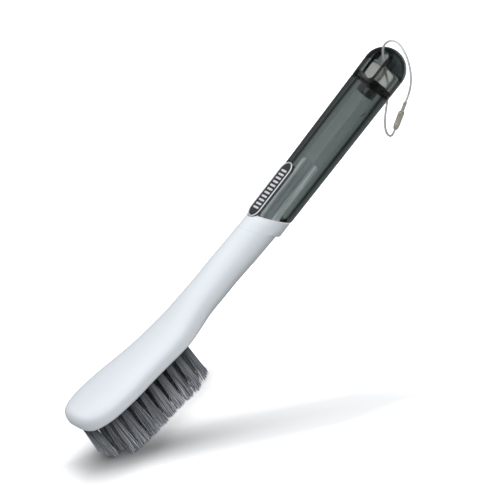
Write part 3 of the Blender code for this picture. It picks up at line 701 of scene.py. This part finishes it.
body_rings += neck_rings()
print("rings in the head and the neck:", len(body_rings))

# %% The collar, which meets the tube on a slant
COLLAR_LENGTH = 0.0098
COLLAR_STEP = 0.0002
COLLAR_RADIUS = JOINT_RADIUS - COLLAR_STEP
COLLAR_EDGE_LENGTH = 0.0003
COLLAR_EDGE_DROP = 0.0002


def slanted(distance):
    return JOINT + ALONG * distance, ABOVE - ALONG * tan(JOINT_SLANT)


for back, drop in (
        (COLLAR_LENGTH, COLLAR_EDGE_DROP),
        (COLLAR_LENGTH - COLLAR_EDGE_LENGTH, 0.0),
        (COLLAR_LENGTH / 2, 0.0),
        (COLLAR_EDGE_LENGTH, 0.0),
        (0.0, COLLAR_EDGE_DROP)):
    centre, above = slanted(-back)
    body_rings.append(oval_ring(centre, COLLAR_RADIUS - drop, COLLAR_RADIUS - drop, above))
print("rings with the collar:", len(body_rings))

# %% The tang inside the tube
TANG_LENGTH = 0.0392
TANG_RIB_THICKNESS = 0.0025
TANG_CORE_RADIUS = 0.0037
TANG_CHAMFER = 0.0012


def tang_ring(centre, above, radius, count=96):
    """A cross of four ribs round a core."""
    core = min(TANG_CORE_RADIUS, radius)
    half_angle = asin(TANG_RIB_THICKNESS / 2 / radius)
    core_angle = asin(TANG_RIB_THICKNESS / 2 / core)
    ring = []
    rib_points = 8
    inner = count // 4 - rib_points
    for quarter in range(4):
        middle = tau * quarter / 4
        points = [(middle + half_angle * (2 * i / (rib_points - 1) - 1), radius)
                  for i in range(rib_points)]
        start, stop = middle + core_angle, middle + tau / 4 - core_angle
        points += [(start + (stop - start) * i / (inner - 1), core) for i in range(inner)]
        ring += spoked_ring(centre, SIDE, above, points)
    middle_of_first_rib = rib_points // 2
    return ring[middle_of_first_rib:] + ring[:middle_of_first_rib]


tang_radius = BORE_RADIUS - GAP
body_rings.append(tang_ring(*slanted(0.0), tang_radius))
for distance, radius in (
        (BORE_RADIUS * tan(JOINT_SLANT) + GAP, tang_radius),
        (TANG_LENGTH - TANG_CHAMFER, tang_radius),
        (TANG_LENGTH, tang_radius - TANG_CHAMFER)):
    body_rings.append(tang_ring(JOINT + ALONG * distance, ABOVE, radius))
print("rings in the moulding:", len(body_rings))

# %% [markdown]
# ## Where the tufts stand
#
# The tufts stand in five rows that follow the outline of the head, with every second row set half
# a step on. The same plan gives the holes in the moulding and, later, the filaments.

# %% The plan of the tufts
HOLE_RADIUS = 0.0023
HOLE_DEPTH = 0.0070
TUFT_SIDE_INSET = 0.0042
TUFT_NOSE_INSET = 0.0048
TUFT_HEEL_INSET = 0.0019
TUFT_TURN_IN = 0.82
TUFT_ROWS = ((-1.0, 9, 0.0), (-0.5, 9, 0.5), (0.0, 10, 0.0), (0.5, 9, 0.5), (1.0, 9, 0.0))


def tuft_places():
    """Row, number and place of each tuft, from rows of (share of the width, count, stagger)."""
    places = []
    for row, (share, count, stagger) in enumerate(TUFT_ROWS):
        turn_in = 1 - (1 - TUFT_TURN_IN * abs(share) ** NOSE_POWER) ** (1 / NOSE_POWER)
        first = TUFT_NOSE_INSET + NOSE_LENGTH * turn_in
        pitch = (HEAD_LENGTH - TUFT_HEEL_INSET - first) / (count - 1 + stagger)
        for number in range(count):
            distance = first + pitch * number
            across = share * (head_half_width(distance) - TUFT_SIDE_INSET)
            places.append((row + 1, number + 1, NOSE_X + distance, across))
    return places


print("tufts:", len(tuft_places()))

# %% The cutter for their holes
HOLE_SIDES = 24
HOLE_OVERRUN = 0.002


def flat_circle(x, y, z, radius, count, turn=0.0):
    return [Vector((x + radius * cos(tau * i / count + turn),
                    y + radius * sin(tau * i / count + turn), z)) for i in range(count)]


hole_skins = [skin([flat_circle(x, y, z, HOLE_RADIUS, HOLE_SIDES)
                    for z in (BRISTLE_LENGTH - HOLE_OVERRUN, BRISTLE_LENGTH + HOLE_DEPTH)])
              for row, number, x, y in tuft_places()]
hole_cutter = make_object("tuft_hole_cutter", merged(*hole_skins))
print("holes to cut:", len(hole_skins))

# %% [markdown]
# ## The badge's outline
#
# The badge is a long oval with half round ends. Its bezel, its plate and its seat are the same
# outline at different sizes. So one function draws them all, and the slot in the cap as well.

# %% Long ovals and the seat of the badge
BADGE_LENGTH = 0.0388
BADGE_WIDTH = 0.0120
BADGE_OVERHANG = 0.0014
SEAT_MARGIN = 0.0003
BADGE_FLOOR = 0.0094
SEAT_CUT_HEIGHT = 0.02


def long_oval(centre, length, width, along, across, end_points=28):
    radius = width / 2
    outline = []
    for end in (1, -1):
        for index in range(end_points + 1):
            angle = end * pi / 2 - pi * index / end_points
            reach = end * (length / 2 - radius) + radius * sin(angle + pi / 2)
            outline.append(centre + along * reach + across * (radius * sin(angle)))
    return outline


def badge_centre(height):
    top_of_joint = -JOINT_RADIUS * tan(JOINT_SLANT)
    return JOINT + ALONG * (top_of_joint - BADGE_OVERHANG + BADGE_LENGTH / 2) + ABOVE * height


def badge_seat_cutter(name):
    low = long_oval(badge_centre(BADGE_FLOOR), BADGE_LENGTH + 2 * SEAT_MARGIN,
                    BADGE_WIDTH + 2 * SEAT_MARGIN, ALONG, SIDE)
    high = [point + ABOVE * SEAT_CUT_HEIGHT for point in low]
    return make_object(name, skin([low, high]))


print("middle of the badge:", [round(value, 4) for value in badge_centre(BADGE_FLOOR)])

# %% [markdown]
# ## The finish of the moulding
#
# The plastic is a cool white with a soft gloss, and fine grain breaks up the highlight. Daylight
# reaches the real tang through the clear tube, but the lamps here don't. So painted light stands in
# for it: the tang glows faintly inside the tube, in streaks, most of all on its ribs.

# %% White plastic
WHITES = ((0.80, 0.845, 0.88), (0.83, 0.87, 0.90))
TANG_LIGHT_COLOUR = (1.0, 0.98, 0.97)
RIBS_FROM = 0.0042
TANG_GRAIN_SCALES = (30.0, 1300.0, 1300.0)
slant_normal = (ALONG + ABOVE * tan(JOINT_SLANT)).normalized()
white = Paint("gloss_white_plastic")
white_cloud = white.noise(14.0, 2.0)
white_grain = white.noise(1800.0, 2.0)
inside_tube = white.along_line(JOINT, slant_normal).past(-0.0002, 0.0002)
on_ribs = white.off_line(JOINT, ALONG).past(RIBS_FROM, 0.00143)
handle_place = [white.along_line(JOINT, direction) * scale
                for direction, scale in zip((ALONG, SIDE, ABOVE), TANG_GRAIN_SCALES)]
tang_grain = white.noise(1.0, 2.0, white.node(
    "ShaderNodeCombineXYZ", {}, dict(enumerate(handle_place))))
tang_light_streaks = tang_grain.past(0.35, 0.303)
# painted light: an emission on the tang inside the tube, stronger on the ribs and in streaks
tang_painted_light = inside_tube * on_ribs.from_to(0.04, 0.46) * tang_light_streaks.from_to(0.4, 1.6)
white.surface(
    Base_Color=white.mixed(white_cloud, *WHITES),
    Roughness=white_cloud.from_to(0.27, 0.33),
    Subsurface_Weight=0.08,
    Subsurface_Radius=(0.004, 0.004, 0.004),
    Emission_Color=white.mixed(tang_painted_light, (0.0, 0.0, 0.0), TANG_LIGHT_COLOUR),
    Emission_Strength=1.0,
    Normal=white.bump(white_grain, 0.06, 0.00004),
)

# %% The moulding with its holes
moulding = make_object("white_moulding", skin(body_rings))
carve(moulding, [hole_cutter, badge_seat_cutter("badge_seat_in_neck")])
dress(moulding, white.material, "brush", "white_plastic", "head_and_neck")

# %% [markdown]
# ## The tufts
#
# A tuft is a bundle of stiff nylon filaments, folded over a small anchor and pulled into its hole.
# The filaments leave the hole side by side and spread as they go down, each with a little bend of
# its own. Hair particles could do this, but plain thin prisms export as real geometry. All tips
# are cut to one plane, apart from the rounded trim at both ends of the head.

# %% The trim of the tips
NOSE_TRIM = (0.0075, 0.0080)
HEEL_TRIM = (0.010, 0.0030)


def trim_height(x):
    height = 0.0
    for distance, (reach, rise) in ((x - NOSE_X, NOSE_TRIM), (HEEL_X - x, HEEL_TRIM)):
        height += rise * max(0.0, 1 - distance / reach)
    return height


print("tips at the nose stand", round(trim_height(NOSE_X) * 1000, 1), "mm above the ground")

# %% Filaments
FILAMENTS_PER_TUFT = 54
FILAMENT_RADIUS = 0.00021
FILAMENT_SIDES = 4
FILAMENT_STATIONS = (0.0, 0.35, 0.7, 1.0)
FILAMENT_CURVE = 1.25
ROOT_RADIUS = HOLE_RADIUS - GAP - FILAMENT_RADIUS
ROOT_HEIGHT = BRISTLE_LENGTH + 0.0015
GOLDEN_ANGLE = 2.39996
TUFT_SPLAY = 2.0
SPLAY_RANGE = (0.88, 1.10)
EDGE_SPLAY = 1.15
EDGE_FROM = 0.7
TIP_SCATTER = 0.00022
BOW_SCATTER = 0.00018
UNEVEN_TIPS = 0.0009
HEAD_MIDDLE_X = NOSE_X + HEAD_LENGTH / 2


def tuft_skin(x, y):
    """One tuft: filaments placed like seeds in a sunflower head, so that none shares a root."""
    skins = []
    outward = Vector(((x - HEAD_MIDDLE_X) / HEAD_LENGTH ** 2, y / HEAD_WIDTH ** 2)).normalized()
    share_out = hypot((x - HEAD_MIDDLE_X) / HEAD_LENGTH * 2, y / HEAD_WIDTH * 2)
    start_turn = random.uniform(0, tau)
    for index in range(FILAMENTS_PER_TUFT):
        angle = start_turn + index * GOLDEN_ANGLE
        reach = ROOT_RADIUS * sqrt((index + 0.5) / FILAMENTS_PER_TUFT)
        off_x, off_y = reach * cos(angle), reach * sin(angle)
        offset = Vector((off_x, off_y))
        spread = offset * (TUFT_SPLAY * random.uniform(*SPLAY_RANGE))
        if share_out > EDGE_FROM and offset.dot(outward) > 0:
            spread -= outward * (offset.dot(outward) * (TUFT_SPLAY - EDGE_SPLAY))
        end_x = x + spread.x + random.gauss(0, TIP_SCATTER)
        end_y = y + spread.y + random.gauss(0, TIP_SCATTER)
        bow_x, bow_y = random.gauss(0, BOW_SCATTER), random.gauss(0, BOW_SCATTER)
        low = trim_height(end_x) + random.uniform(0.0, UNEVEN_TIPS)
        twist = random.uniform(0, tau)
        rings = []
        for share in FILAMENT_STATIONS:
            out = share ** FILAMENT_CURVE
            bow = 4 * share * (1 - share)
            rings.append(flat_circle(
                x + off_x + (end_x - x - off_x) * out + bow_x * bow,
                y + off_y + (end_y - y - off_y) * out + bow_y * bow,
                ROOT_HEIGHT + (low - ROOT_HEIGHT) * share,
                FILAMENT_RADIUS, FILAMENT_SIDES, twist))
        skins.append(skin(rings))
    return merged(*skins)


print("filaments:", len(tuft_places()) * FILAMENTS_PER_TUFT)

# %% The finish of the nylon, and all tufts
NYLON_STREAKS = ((0.14, 0.155, 0.175), (0.84, 0.88, 0.93))
NYLON_ROOT_SHADE = (0.12, 0.13, 0.145)
NYLON_GRAIN_SCALES = (1500.0, 1500.0, 25.0)
FILAMENT_ANGLE = radians(80)
nylon = Paint("grey_nylon_filament")
nylon_grain = nylon.node("ShaderNodeMapping", {}, {
    "Vector": nylon.place(), "Scale": NYLON_GRAIN_SCALES})
nylon_noise = nylon.noise(1.0, 2.0, nylon_grain)
nylon_shade = nylon_noise.past(0.38, 0.25)
nylon_height = nylon.node("ShaderNodeSeparateXYZ", {}, {0: nylon.place()}, "Z")
towards_tip = nylon_height.short_of(BRISTLE_LENGTH, BRISTLE_LENGTH)
nylon_streak = nylon.mixed(nylon_shade, *NYLON_STREAKS)
# painted shade: the filaments darken towards their roots, under the head
nylon.surface(
    Base_Color=nylon.mixed(towards_tip, NYLON_ROOT_SHADE, nylon_streak),
    Roughness=nylon_shade.from_to(0.34, 0.54),
)
for row, number, x, y in tuft_places():
    bundle = make_object(f"filaments_{row}_{number:02d}", tuft_skin(x, y), FILAMENT_ANGLE)
    dress(bundle, nylon.material, "brush", "grey_nylon", f"tuft_{row}_{number:02d}")

# %% [markdown]
# ## Clear smoke plastic
#
# The tube and the cap are moulded in clear plastic with a smoke tint. The tint is in the depth of
# the plastic, not on its skin: a ray that crosses more of it comes out darker, which is why the
# thick walls read as dark bands. So the surface refracts, and the colour is a volume that absorbs
# light by the millimetre. Only the seam, the plug and the hollow of the cap have a tinted surface.
#
# In a room such plastic also bends dark surroundings into view along its sides. This studio is
# plain white, so a thin dark line is painted on where the surface turns away from the eye: painted
# shade that stands for those dark surroundings.

# %% The cap's hollow, which its finish needs to know
CAP_HOLLOW = (
    (0.0042, 0.0088), (0.0044, 0.0093), (0.0050, 0.0096), (0.0124, 0.0096), (0.0132, 0.0095),
    (0.0139, 0.0092), (0.0145, 0.0087), (0.0150, 0.0081), (0.0153, 0.0075), (0.0154, 0.0068),
)
HOLLOW_SPAN = (CAP_HOLLOW[0][0] - 0.0002, CAP_HOLLOW[-1][0] + 0.0002)
HOLLOW_REACH = 0.00975
print("hollow of the cap:", [round(place * 1000, 1) for place in HOLLOW_SPAN], "mm past the seam")

# %% Smoke plastic
SMOKE_COLOUR = (0.04, 0.13, 0.12)
PLUG_TINT = (0.30, 0.32, 0.32)
HOLLOW_TINT = (0.53, 0.51, 0.45)
SEAM_TINT = (0.05, 0.06, 0.06)
SEAM_BAND_HALF = 0.0014
LIMB_SHADE_DEPTH = 0.75
LIMB_SHADE_COLOUR = (0.006, 0.008, 0.008)
WALL_FROM = BORE_RADIUS + 0.0008


def smoke_plastic(name, density, limb):
    """Clear smoke plastic, with a painted dark line of shade near its limbs, set by a middle and a half
    width on the facing scale.
    """
    paint = Paint(name)
    film = paint.noise(60.0, 3.0)
    past_seam = paint.along_line(SEAM, ALONG)
    off_axis = paint.off_line(SEAM, ALONG)
    seam_band = abs(past_seam).short_of(SEAM_BAND_HALF, 0.0004)
    plug_end = off_axis.short_of(BORE_RADIUS - GAP / 2, 0.0001) * past_seam.short_of(0.0, 0.0005)
    in_hollow = past_seam.past(HOLLOW_SPAN[0], 0.0001) * past_seam.short_of(HOLLOW_SPAN[1], 0.0001)
    in_hollow = in_hollow * off_axis.short_of(HOLLOW_REACH, 0.0001)
    tint = paint.mixed(plug_end, (1.0, 1.0, 1.0), PLUG_TINT)
    tint = paint.mixed(in_hollow, tint, HOLLOW_TINT)
    tint = paint.mixed(seam_band, tint, SEAM_TINT)
    paint.surface(
        Base_Color=tint,
        Transmission_Weight=1.0,
        IOR=1.49,
        Roughness=film.from_to(0.005, 0.025) + in_hollow * 0.20,
    )
    # painted shade: a dark line laid over the plastic where it turns away from the eye
    turned_away = paint.node("ShaderNodeLayerWeight", {}, {"Blend": 0.5}, "Facing")
    from_line = (turned_away - limb[0]) / limb[1]
    painted_limb_shade = (1.0 - from_line * from_line).clamped() * off_axis.past(WALL_FROM, 0.0002)
    paint.covered(painted_limb_shade * LIMB_SHADE_DEPTH, Base_Color=LIMB_SHADE_COLOUR, Roughness=0.9,
                  Specular_IOR_Level=0.0)
    absorb = paint.node("ShaderNodeVolumeAbsorption", {}, {"Color": SMOKE_COLOUR, "Density": density})
    paint.put(paint.output.inputs["Volume"], absorb)
    return paint.material


TUBE_DENSITY = 172.0
TUBE_LIMB = (0.33, 0.09)
tube_plastic = smoke_plastic("smoke_clear_tube", TUBE_DENSITY, TUBE_LIMB)

# %% The tube
TUBE_EDGE = 0.0004
BEVEL_SHARE = 0.3
ROUND_SIDES = 128
joint_reach = JOINT_RADIUS * tan(JOINT_SLANT)
tube_slope = (SEAM_RADIUS - JOINT_RADIUS) / TUBE_LENGTH
tube_start = joint_reach + TUBE_EDGE + GAP
edge_part = TUBE_EDGE * BEVEL_SHARE


def handle_ring(distance, radius, slant=False):
    centre, above = slanted(distance) if slant else (JOINT + ALONG * distance, ABOVE)
    return oval_ring(centre, radius, radius, above, count=ROUND_SIDES)


tube_rings = [
    handle_ring(GAP, BORE_RADIUS, slant=True),
    handle_ring(GAP, JOINT_RADIUS - TUBE_EDGE, slant=True),
    handle_ring(GAP + edge_part, JOINT_RADIUS - edge_part, slant=True),
    handle_ring(GAP + TUBE_EDGE, JOINT_RADIUS, slant=True),
]
for share in (0.0, 0.25, 0.5, 0.75, 1.0):
    distance = tube_start + (TUBE_LENGTH - TUBE_EDGE - tube_start) * share
    tube_rings.append(handle_ring(distance, JOINT_RADIUS + tube_slope * distance))
tube_rings += [
    handle_ring(TUBE_LENGTH - edge_part, SEAM_RADIUS - edge_part),
    handle_ring(TUBE_LENGTH, SEAM_RADIUS - TUBE_EDGE),
    handle_ring(TUBE_LENGTH, BORE_RADIUS),
    handle_ring(tube_start, BORE_RADIUS),
]
tube = make_object("smoke_tube", skin(tube_rings, closed=True))
carve(tube, [badge_seat_cutter("badge_seat_in_tube")])
dress(tube, tube_plastic, "brush", "smoke_plastic", "handle_tube")

# %% [markdown]
# ## The end cap
#
# The cap is a turned shape: a plug, a short straight part and a dome. It is hollow inside, and sits
# turned on the handle, so the slot through it doesn't line up with the badge. The hollow and the
# slot are cut out of the turned shape.

# %% The profile of the cap
CAP_EDGE = 0.0005
PLUG_LENGTH = 0.0060
PLUG_HOLLOW_RADIUS = 0.0040
PLUG_HOLLOW_DEPTH = 0.0048
DOME_STATIONS = 32
straight = CAP_LENGTH - CAP_DOME_LENGTH
plug_radius = BORE_RADIUS - GAP
edge_part = CAP_EDGE * BEVEL_SHARE
cap_profile = [
    (PLUG_HOLLOW_DEPTH - PLUG_LENGTH, PLUG_HOLLOW_RADIUS),
    (-PLUG_LENGTH, PLUG_HOLLOW_RADIUS),
    (-PLUG_LENGTH, plug_radius - CAP_EDGE),
    (CAP_EDGE - PLUG_LENGTH, plug_radius),
    (GAP, plug_radius),
    (GAP, SEAM_RADIUS - CAP_EDGE),
    (GAP + edge_part, SEAM_RADIUS - edge_part),
    (GAP + CAP_EDGE, SEAM_RADIUS),
    (straight / 2, (SEAM_RADIUS + CAP_RADIUS) / 2),
    (straight, CAP_RADIUS),
]
for index in range(1, DOME_STATIONS):
    angle = pi / 2 * index / DOME_STATIONS
    cap_profile.append((straight + CAP_DOME_LENGTH * sin(angle), CAP_RADIUS * cos(angle)))


def cap_skin(profile):
    """A skin over rings from rows of (distance past the seam, radius)."""
    return skin([oval_ring(SEAM + ALONG * distance, radius, radius, ABOVE, count=ROUND_SIDES)
                 for distance, radius in profile])


cap = make_object("smoke_cap", cap_skin(cap_profile))
print("rings in the cap:", len(cap_profile))

# %% The slot, the hollow and the finished cap
CAP_TURN = radians(31.0)
SLOT_LENGTH = 0.0195
SLOT_WIDTH = 0.0078
SLOT_INSET = 0.0019
SLOT_REACH = 0.016
CAP_DENSITY = 232.0
CAP_LIMB = (0.50, 0.15)
cap_turn = Matrix.Rotation(CAP_TURN, 3, ALONG)
slot_through, slot_across = cap_turn @ ABOVE, cap_turn @ SIDE
slot_middle = SEAM + ALONG * (SLOT_INSET + SLOT_LENGTH / 2)
slot_outline = long_oval(slot_middle, SLOT_LENGTH, SLOT_WIDTH, ALONG, slot_across)
slot_cutter = make_object("slot_cutter", skin([
    [point + slot_through * reach for point in slot_outline] for reach in (-SLOT_REACH, SLOT_REACH)]))
carve(cap, [make_object("hollow_cutter", cap_skin(CAP_HOLLOW)), slot_cutter])
cap_plastic = smoke_plastic("smoke_clear_cap", CAP_DENSITY, CAP_LIMB)
dress(cap, cap_plastic, "brush", "smoke_plastic", "end_cap")

# %% [markdown]
# ## The badge
#
# The badge is a bright ring round a dark plate. On the plate stand plain raised bars and nothing
# else, so that the brush carries no name. The bars are bright like the ring.

# %% The bezel
BEZEL_WALL = 0.0012
BEZEL_HEIGHT = 0.0017
BEZEL_ROUNDING = 0.0004
BEZEL_STEPS = 8
BEZEL_ANGLE = radians(50)
BEZEL_SHADE_AND_METAL = ((0.10, 0.11, 0.12), (0.93, 0.95, 0.97))
bezel_low = BADGE_FLOOR + GAP
bezel_high = bezel_low + BEZEL_HEIGHT


def bezel_ring(height, inset):
    return long_oval(badge_centre(height), BADGE_LENGTH - 2 * inset, BADGE_WIDTH - 2 * inset,
                     ALONG, SIDE)


bezel_rings = [bezel_ring(bezel_low, BEZEL_WALL), bezel_ring(bezel_low, 0.0)]
for index in range(BEZEL_STEPS + 1):
    angle = pi * index / BEZEL_STEPS
    inset = BEZEL_WALL / 2 * (1 - cos(angle))
    bezel_rings.append(bezel_ring(bezel_high - BEZEL_ROUNDING * (1 - sin(angle)), inset))
chrome = Paint("bright_plating")
chrome_smear = chrome.noise(300.0, 4.0)
chrome_height = chrome.along_line(badge_centre(bezel_high), ABOVE)
chrome_ridge = chrome_height.past(-BEZEL_ROUNDING, 0.000167)
# painted shade: the bezel's walls below its rounded top are dark, and the top keeps the bright grey of
# the plating
chrome.surface(
    Base_Color=chrome.mixed(chrome_ridge, *BEZEL_SHADE_AND_METAL),
    Metallic=0.6,
    Roughness=chrome_smear.from_to(0.10, 0.20),
)
bezel = make_object("badge_ring", skin(bezel_rings, closed=True), BEZEL_ANGLE)
dress(bezel, chrome.material, "brush", "badge_chrome", "badge_bezel")

# %% The plate
PLATE_THICKNESS = 0.0006
PLATE_EDGE = 0.0001
PAD_THICKNESS = 0.0004
PLATE_GREYS = ((0.02, 0.023, 0.027), (0.055, 0.058, 0.062))
plate_low = BADGE_FLOOR + 2 * GAP + PAD_THICKNESS
plate_high = plate_low + PLATE_THICKNESS
plate_inset = BEZEL_WALL + GAP
plate = make_object("badge_dark_plate", skin([
    bezel_ring(plate_low, plate_inset),
    bezel_ring(plate_high - PLATE_EDGE, plate_inset),
    bezel_ring(plate_high, plate_inset + PLATE_EDGE),
]))
plate_paint = Paint("dark_plate")
plate_paint.worn(900.0, 4.0, PLATE_GREYS, (0.25, 0.45), (0.3, 0.00005), Metallic=0.1,
                 Specular_IOR_Level=0.35)
dress(plate, plate_paint.material, "brush", "badge_dark", "badge_plate")

# %% The bars on the plate
BAR_COUNT = 11
BAR_PITCH = 0.0026
BAR_LENGTH = 0.0058
BAR_WIDTH = 0.0013
BAR_HEIGHT = 0.0003
BAR_EDGE = 0.0001
BAR_SINK = 0.0002
BAR_END_POINTS = 12
BAR_GREYS = ((0.78, 0.79, 0.80), (0.92, 0.92, 0.92))
bar_skins = []
for index in range(BAR_COUNT):
    offset = BAR_PITCH * (index - (BAR_COUNT - 1) / 2)
    middle = badge_centre(plate_high) + ALONG * offset
    bar_rings = []
    for height, inset in ((-BAR_SINK, 0.0), (BAR_HEIGHT - BAR_EDGE, 0.0), (BAR_HEIGHT, BAR_EDGE)):
        bar_rings.append(long_oval(middle + ABOVE * height, BAR_LENGTH - 2 * inset,
                                   BAR_WIDTH - 2 * inset, SIDE, ALONG, BAR_END_POINTS))
    bar_skins.append(skin(bar_rings))
bar_paint = Paint("satin_plating")
bar_paint.worn(500.0, 3.0, BAR_GREYS, (0.25, 0.45), Metallic=0.3)
bars = make_object("badge_bars", merged(*bar_skins))
dress(bars, bar_paint.material, "brush", "badge_chrome")

# %% The adhesive pad keeps its solid and gets a foam finish
FOAM_GREYS = ((0.62, 0.62, 0.60), (0.80, 0.80, 0.77))
foam = Paint("adhesive_foam")
foam_cells = foam.node("ShaderNodeTexVoronoi", {}, {"Vector": foam.place(), "Scale": 2500.0})
foam.surface(
    Base_Color=foam.mixed(foam_cells, *FOAM_GREYS),
    Roughness=0.9,
    Normal=foam.bump(foam_cells, 0.4, 0.0001),
)
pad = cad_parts["badge_pad"]
pad.data.materials.clear()
pad.data.materials.append(foam.material)

# %% [markdown]
# ## The studio
#
# The picture has a white ground with one soft shadow. A large floor lies under the tips of the
# tufts. The camera sees a white floor and a white world. A ray through clear plastic finds one
# pale grey in both, and a reflection finds a gradient in the world, which models the gloss.
#
# The photograph's shadow doesn't match the light on the brush. So it is painted on the floor as a
# streak from under the front tufts, and around it the floor glows, which hides other shadows.

# %% Where the shadow lies on the floor
SHADOW_START = (-0.1144, -0.0322, 0.0)
SHADOW_ALONG = (0.5486, -0.8361, 0.0)
SHADOW_ACROSS = (0.8361, 0.5486, 0.0)
SHADOW_WIDTH = 0.0115
SHADOW_FADE = 0.060
SHADOW_BACK = (0.070, 0.035)
SHADOW_DEPTH = 0.66
INVERSE_E = 0.3679
ground = Paint("studio_floor")
along_shadow = ground.along_line(SHADOW_START, SHADOW_ALONG)
aside = abs(ground.along_line(SHADOW_START, SHADOW_ACROSS))
ahead = along_shadow.maths("MAXIMUM", along_shadow, 0.0)
shadow_body = INVERSE_E ** ((aside / SHADOW_WIDTH) ** 2) * INVERSE_E ** (ahead / SHADOW_FADE)
shadow_body = shadow_body * along_shadow.past(-SHADOW_BACK[0], SHADOW_BACK[1])
floor_light = 1.0 - shadow_body * SHADOW_DEPTH
print("the shadow runs", round(3 * SHADOW_FADE * 1000), "mm before it has faded")

# %% The light beyond the shadow, and the floor
LIFT_FROM = 0.010
LIFT_OVER = 0.018
LIFT_BEHIND = (-0.045, 0.03)
LIFT_BEYOND = (0.20, 0.06)
LIFT_STRENGTH = 0.35
HORIZON_ASIDE = 3.5
HORIZON_EDGE = (0.17, 0.16667)
HORIZON_STRENGTH = 0.5
GLOSS_SHARE = 0.05
FLOOR_GREY = (0.30, 0.30, 0.30)
FLOOR_WHITE = 0.95
FLOOR_IN_PLASTIC = (0.945, 0.945, 0.945)
FLOOR_HALF = 3.0
behind = along_shadow.short_of(*LIFT_BEHIND)
beyond = along_shadow.past(*LIFT_BEYOND)
floor_lift = ((aside - LIFT_FROM) / LIFT_OVER + behind + beyond).clamped()
horizon = (aside * HORIZON_ASIDE + abs(along_shadow)).past(*HORIZON_EDGE)
floor_glow = floor_lift * floor_light * LIFT_STRENGTH + horizon * HORIZON_STRENGTH
for_camera, for_glass = ground.ray("Camera"), ground.ray("Transmission")
seen_glow = floor_glow * (for_camera + ground.ray("Glossy") * GLOSS_SHARE)
floor_colour = ground.mixed(for_camera, FLOOR_GREY, floor_light * FLOOR_WHITE)
ground.surface(
    Base_Color=ground.mixed(for_glass, floor_colour, (0.0, 0.0, 0.0)),
    Roughness=0.9,
    Specular_IOR_Level=0.0,
    Emission_Color=ground.mixed(for_glass, seen_glow, FLOOR_IN_PLASTIC),
    Emission_Strength=1.0,
)
floor_corners = [(FLOOR_HALF * x, FLOOR_HALF * y, 0.0) for x, y in ((-1, -1), (1, -1), (1, 1), (-1, 1))]
floor = make_object("studio_floor", (floor_corners, [(0, 1, 2, 3)]))
floor.data.materials.append(ground.material)

# %% The world
AMBIENT = (0.60, 0.61, 0.63)
SKY_STOPS = ((0.45, (0.12, 0.12, 0.12)), (0.85, (0.9, 0.9, 0.9)))
SKY_IN_PLASTIC = (0.90, 0.90, 0.90)
world = bpy.data.worlds.new("studio")
world.use_nodes = True
bpy.context.scene.world = world
sky = Graph(world.node_tree)
sky_place = sky.node("ShaderNodeTexCoord", output="Generated")
sky_height = sky.node("ShaderNodeSeparateXYZ", {}, {0: sky_place}, "Z")
sky_gradient = sky.node("ShaderNodeValToRGB", {"stops": SKY_STOPS}, {0: sky_height})
sky_colour = sky.mixed(sky.ray("Glossy"), AMBIENT, sky_gradient)
sky_colour = sky.mixed(sky.ray("Transmission"), sky_colour, SKY_IN_PLASTIC)
sky_colour = sky.mixed(sky.ray("Camera"), sky_colour, (1.0, 1.0, 1.0))
background = world.node_tree.nodes["Background"]
sky.put(background.inputs["Color"], sky_colour)
sky.put(background.inputs["Strength"], 1.0)
print("the world has", len(world.node_tree.nodes), "nodes")

# %% The lamps
LAMP_AIM = Vector((0.0, 0.0, 0.04))
LAMPS = (
    ("key_lamp", (0.05, -0.90, 0.80), 0.7, 4.4),
    ("top_lamp", (0.28, 0.28, 0.85), 0.5, 2.4),
)
for name, place, size, power in LAMPS:
    lamp_data = bpy.data.lights.new(name, "AREA")
    lamp_data.size = size
    lamp_data.energy = power
    lamp = bpy.data.objects.new(name, lamp_data)
    bpy.context.scene.collection.objects.link(lamp)
    lamp.location = place
    lamp.visible_glossy = False
    lamp.rotation_euler = (LAMP_AIM - lamp.location).to_track_quat("-Z", "Y").to_euler()
    print(name, "at", place, "with", power, "W")

bpy.context.scene.view_settings.view_transform = "Standard"
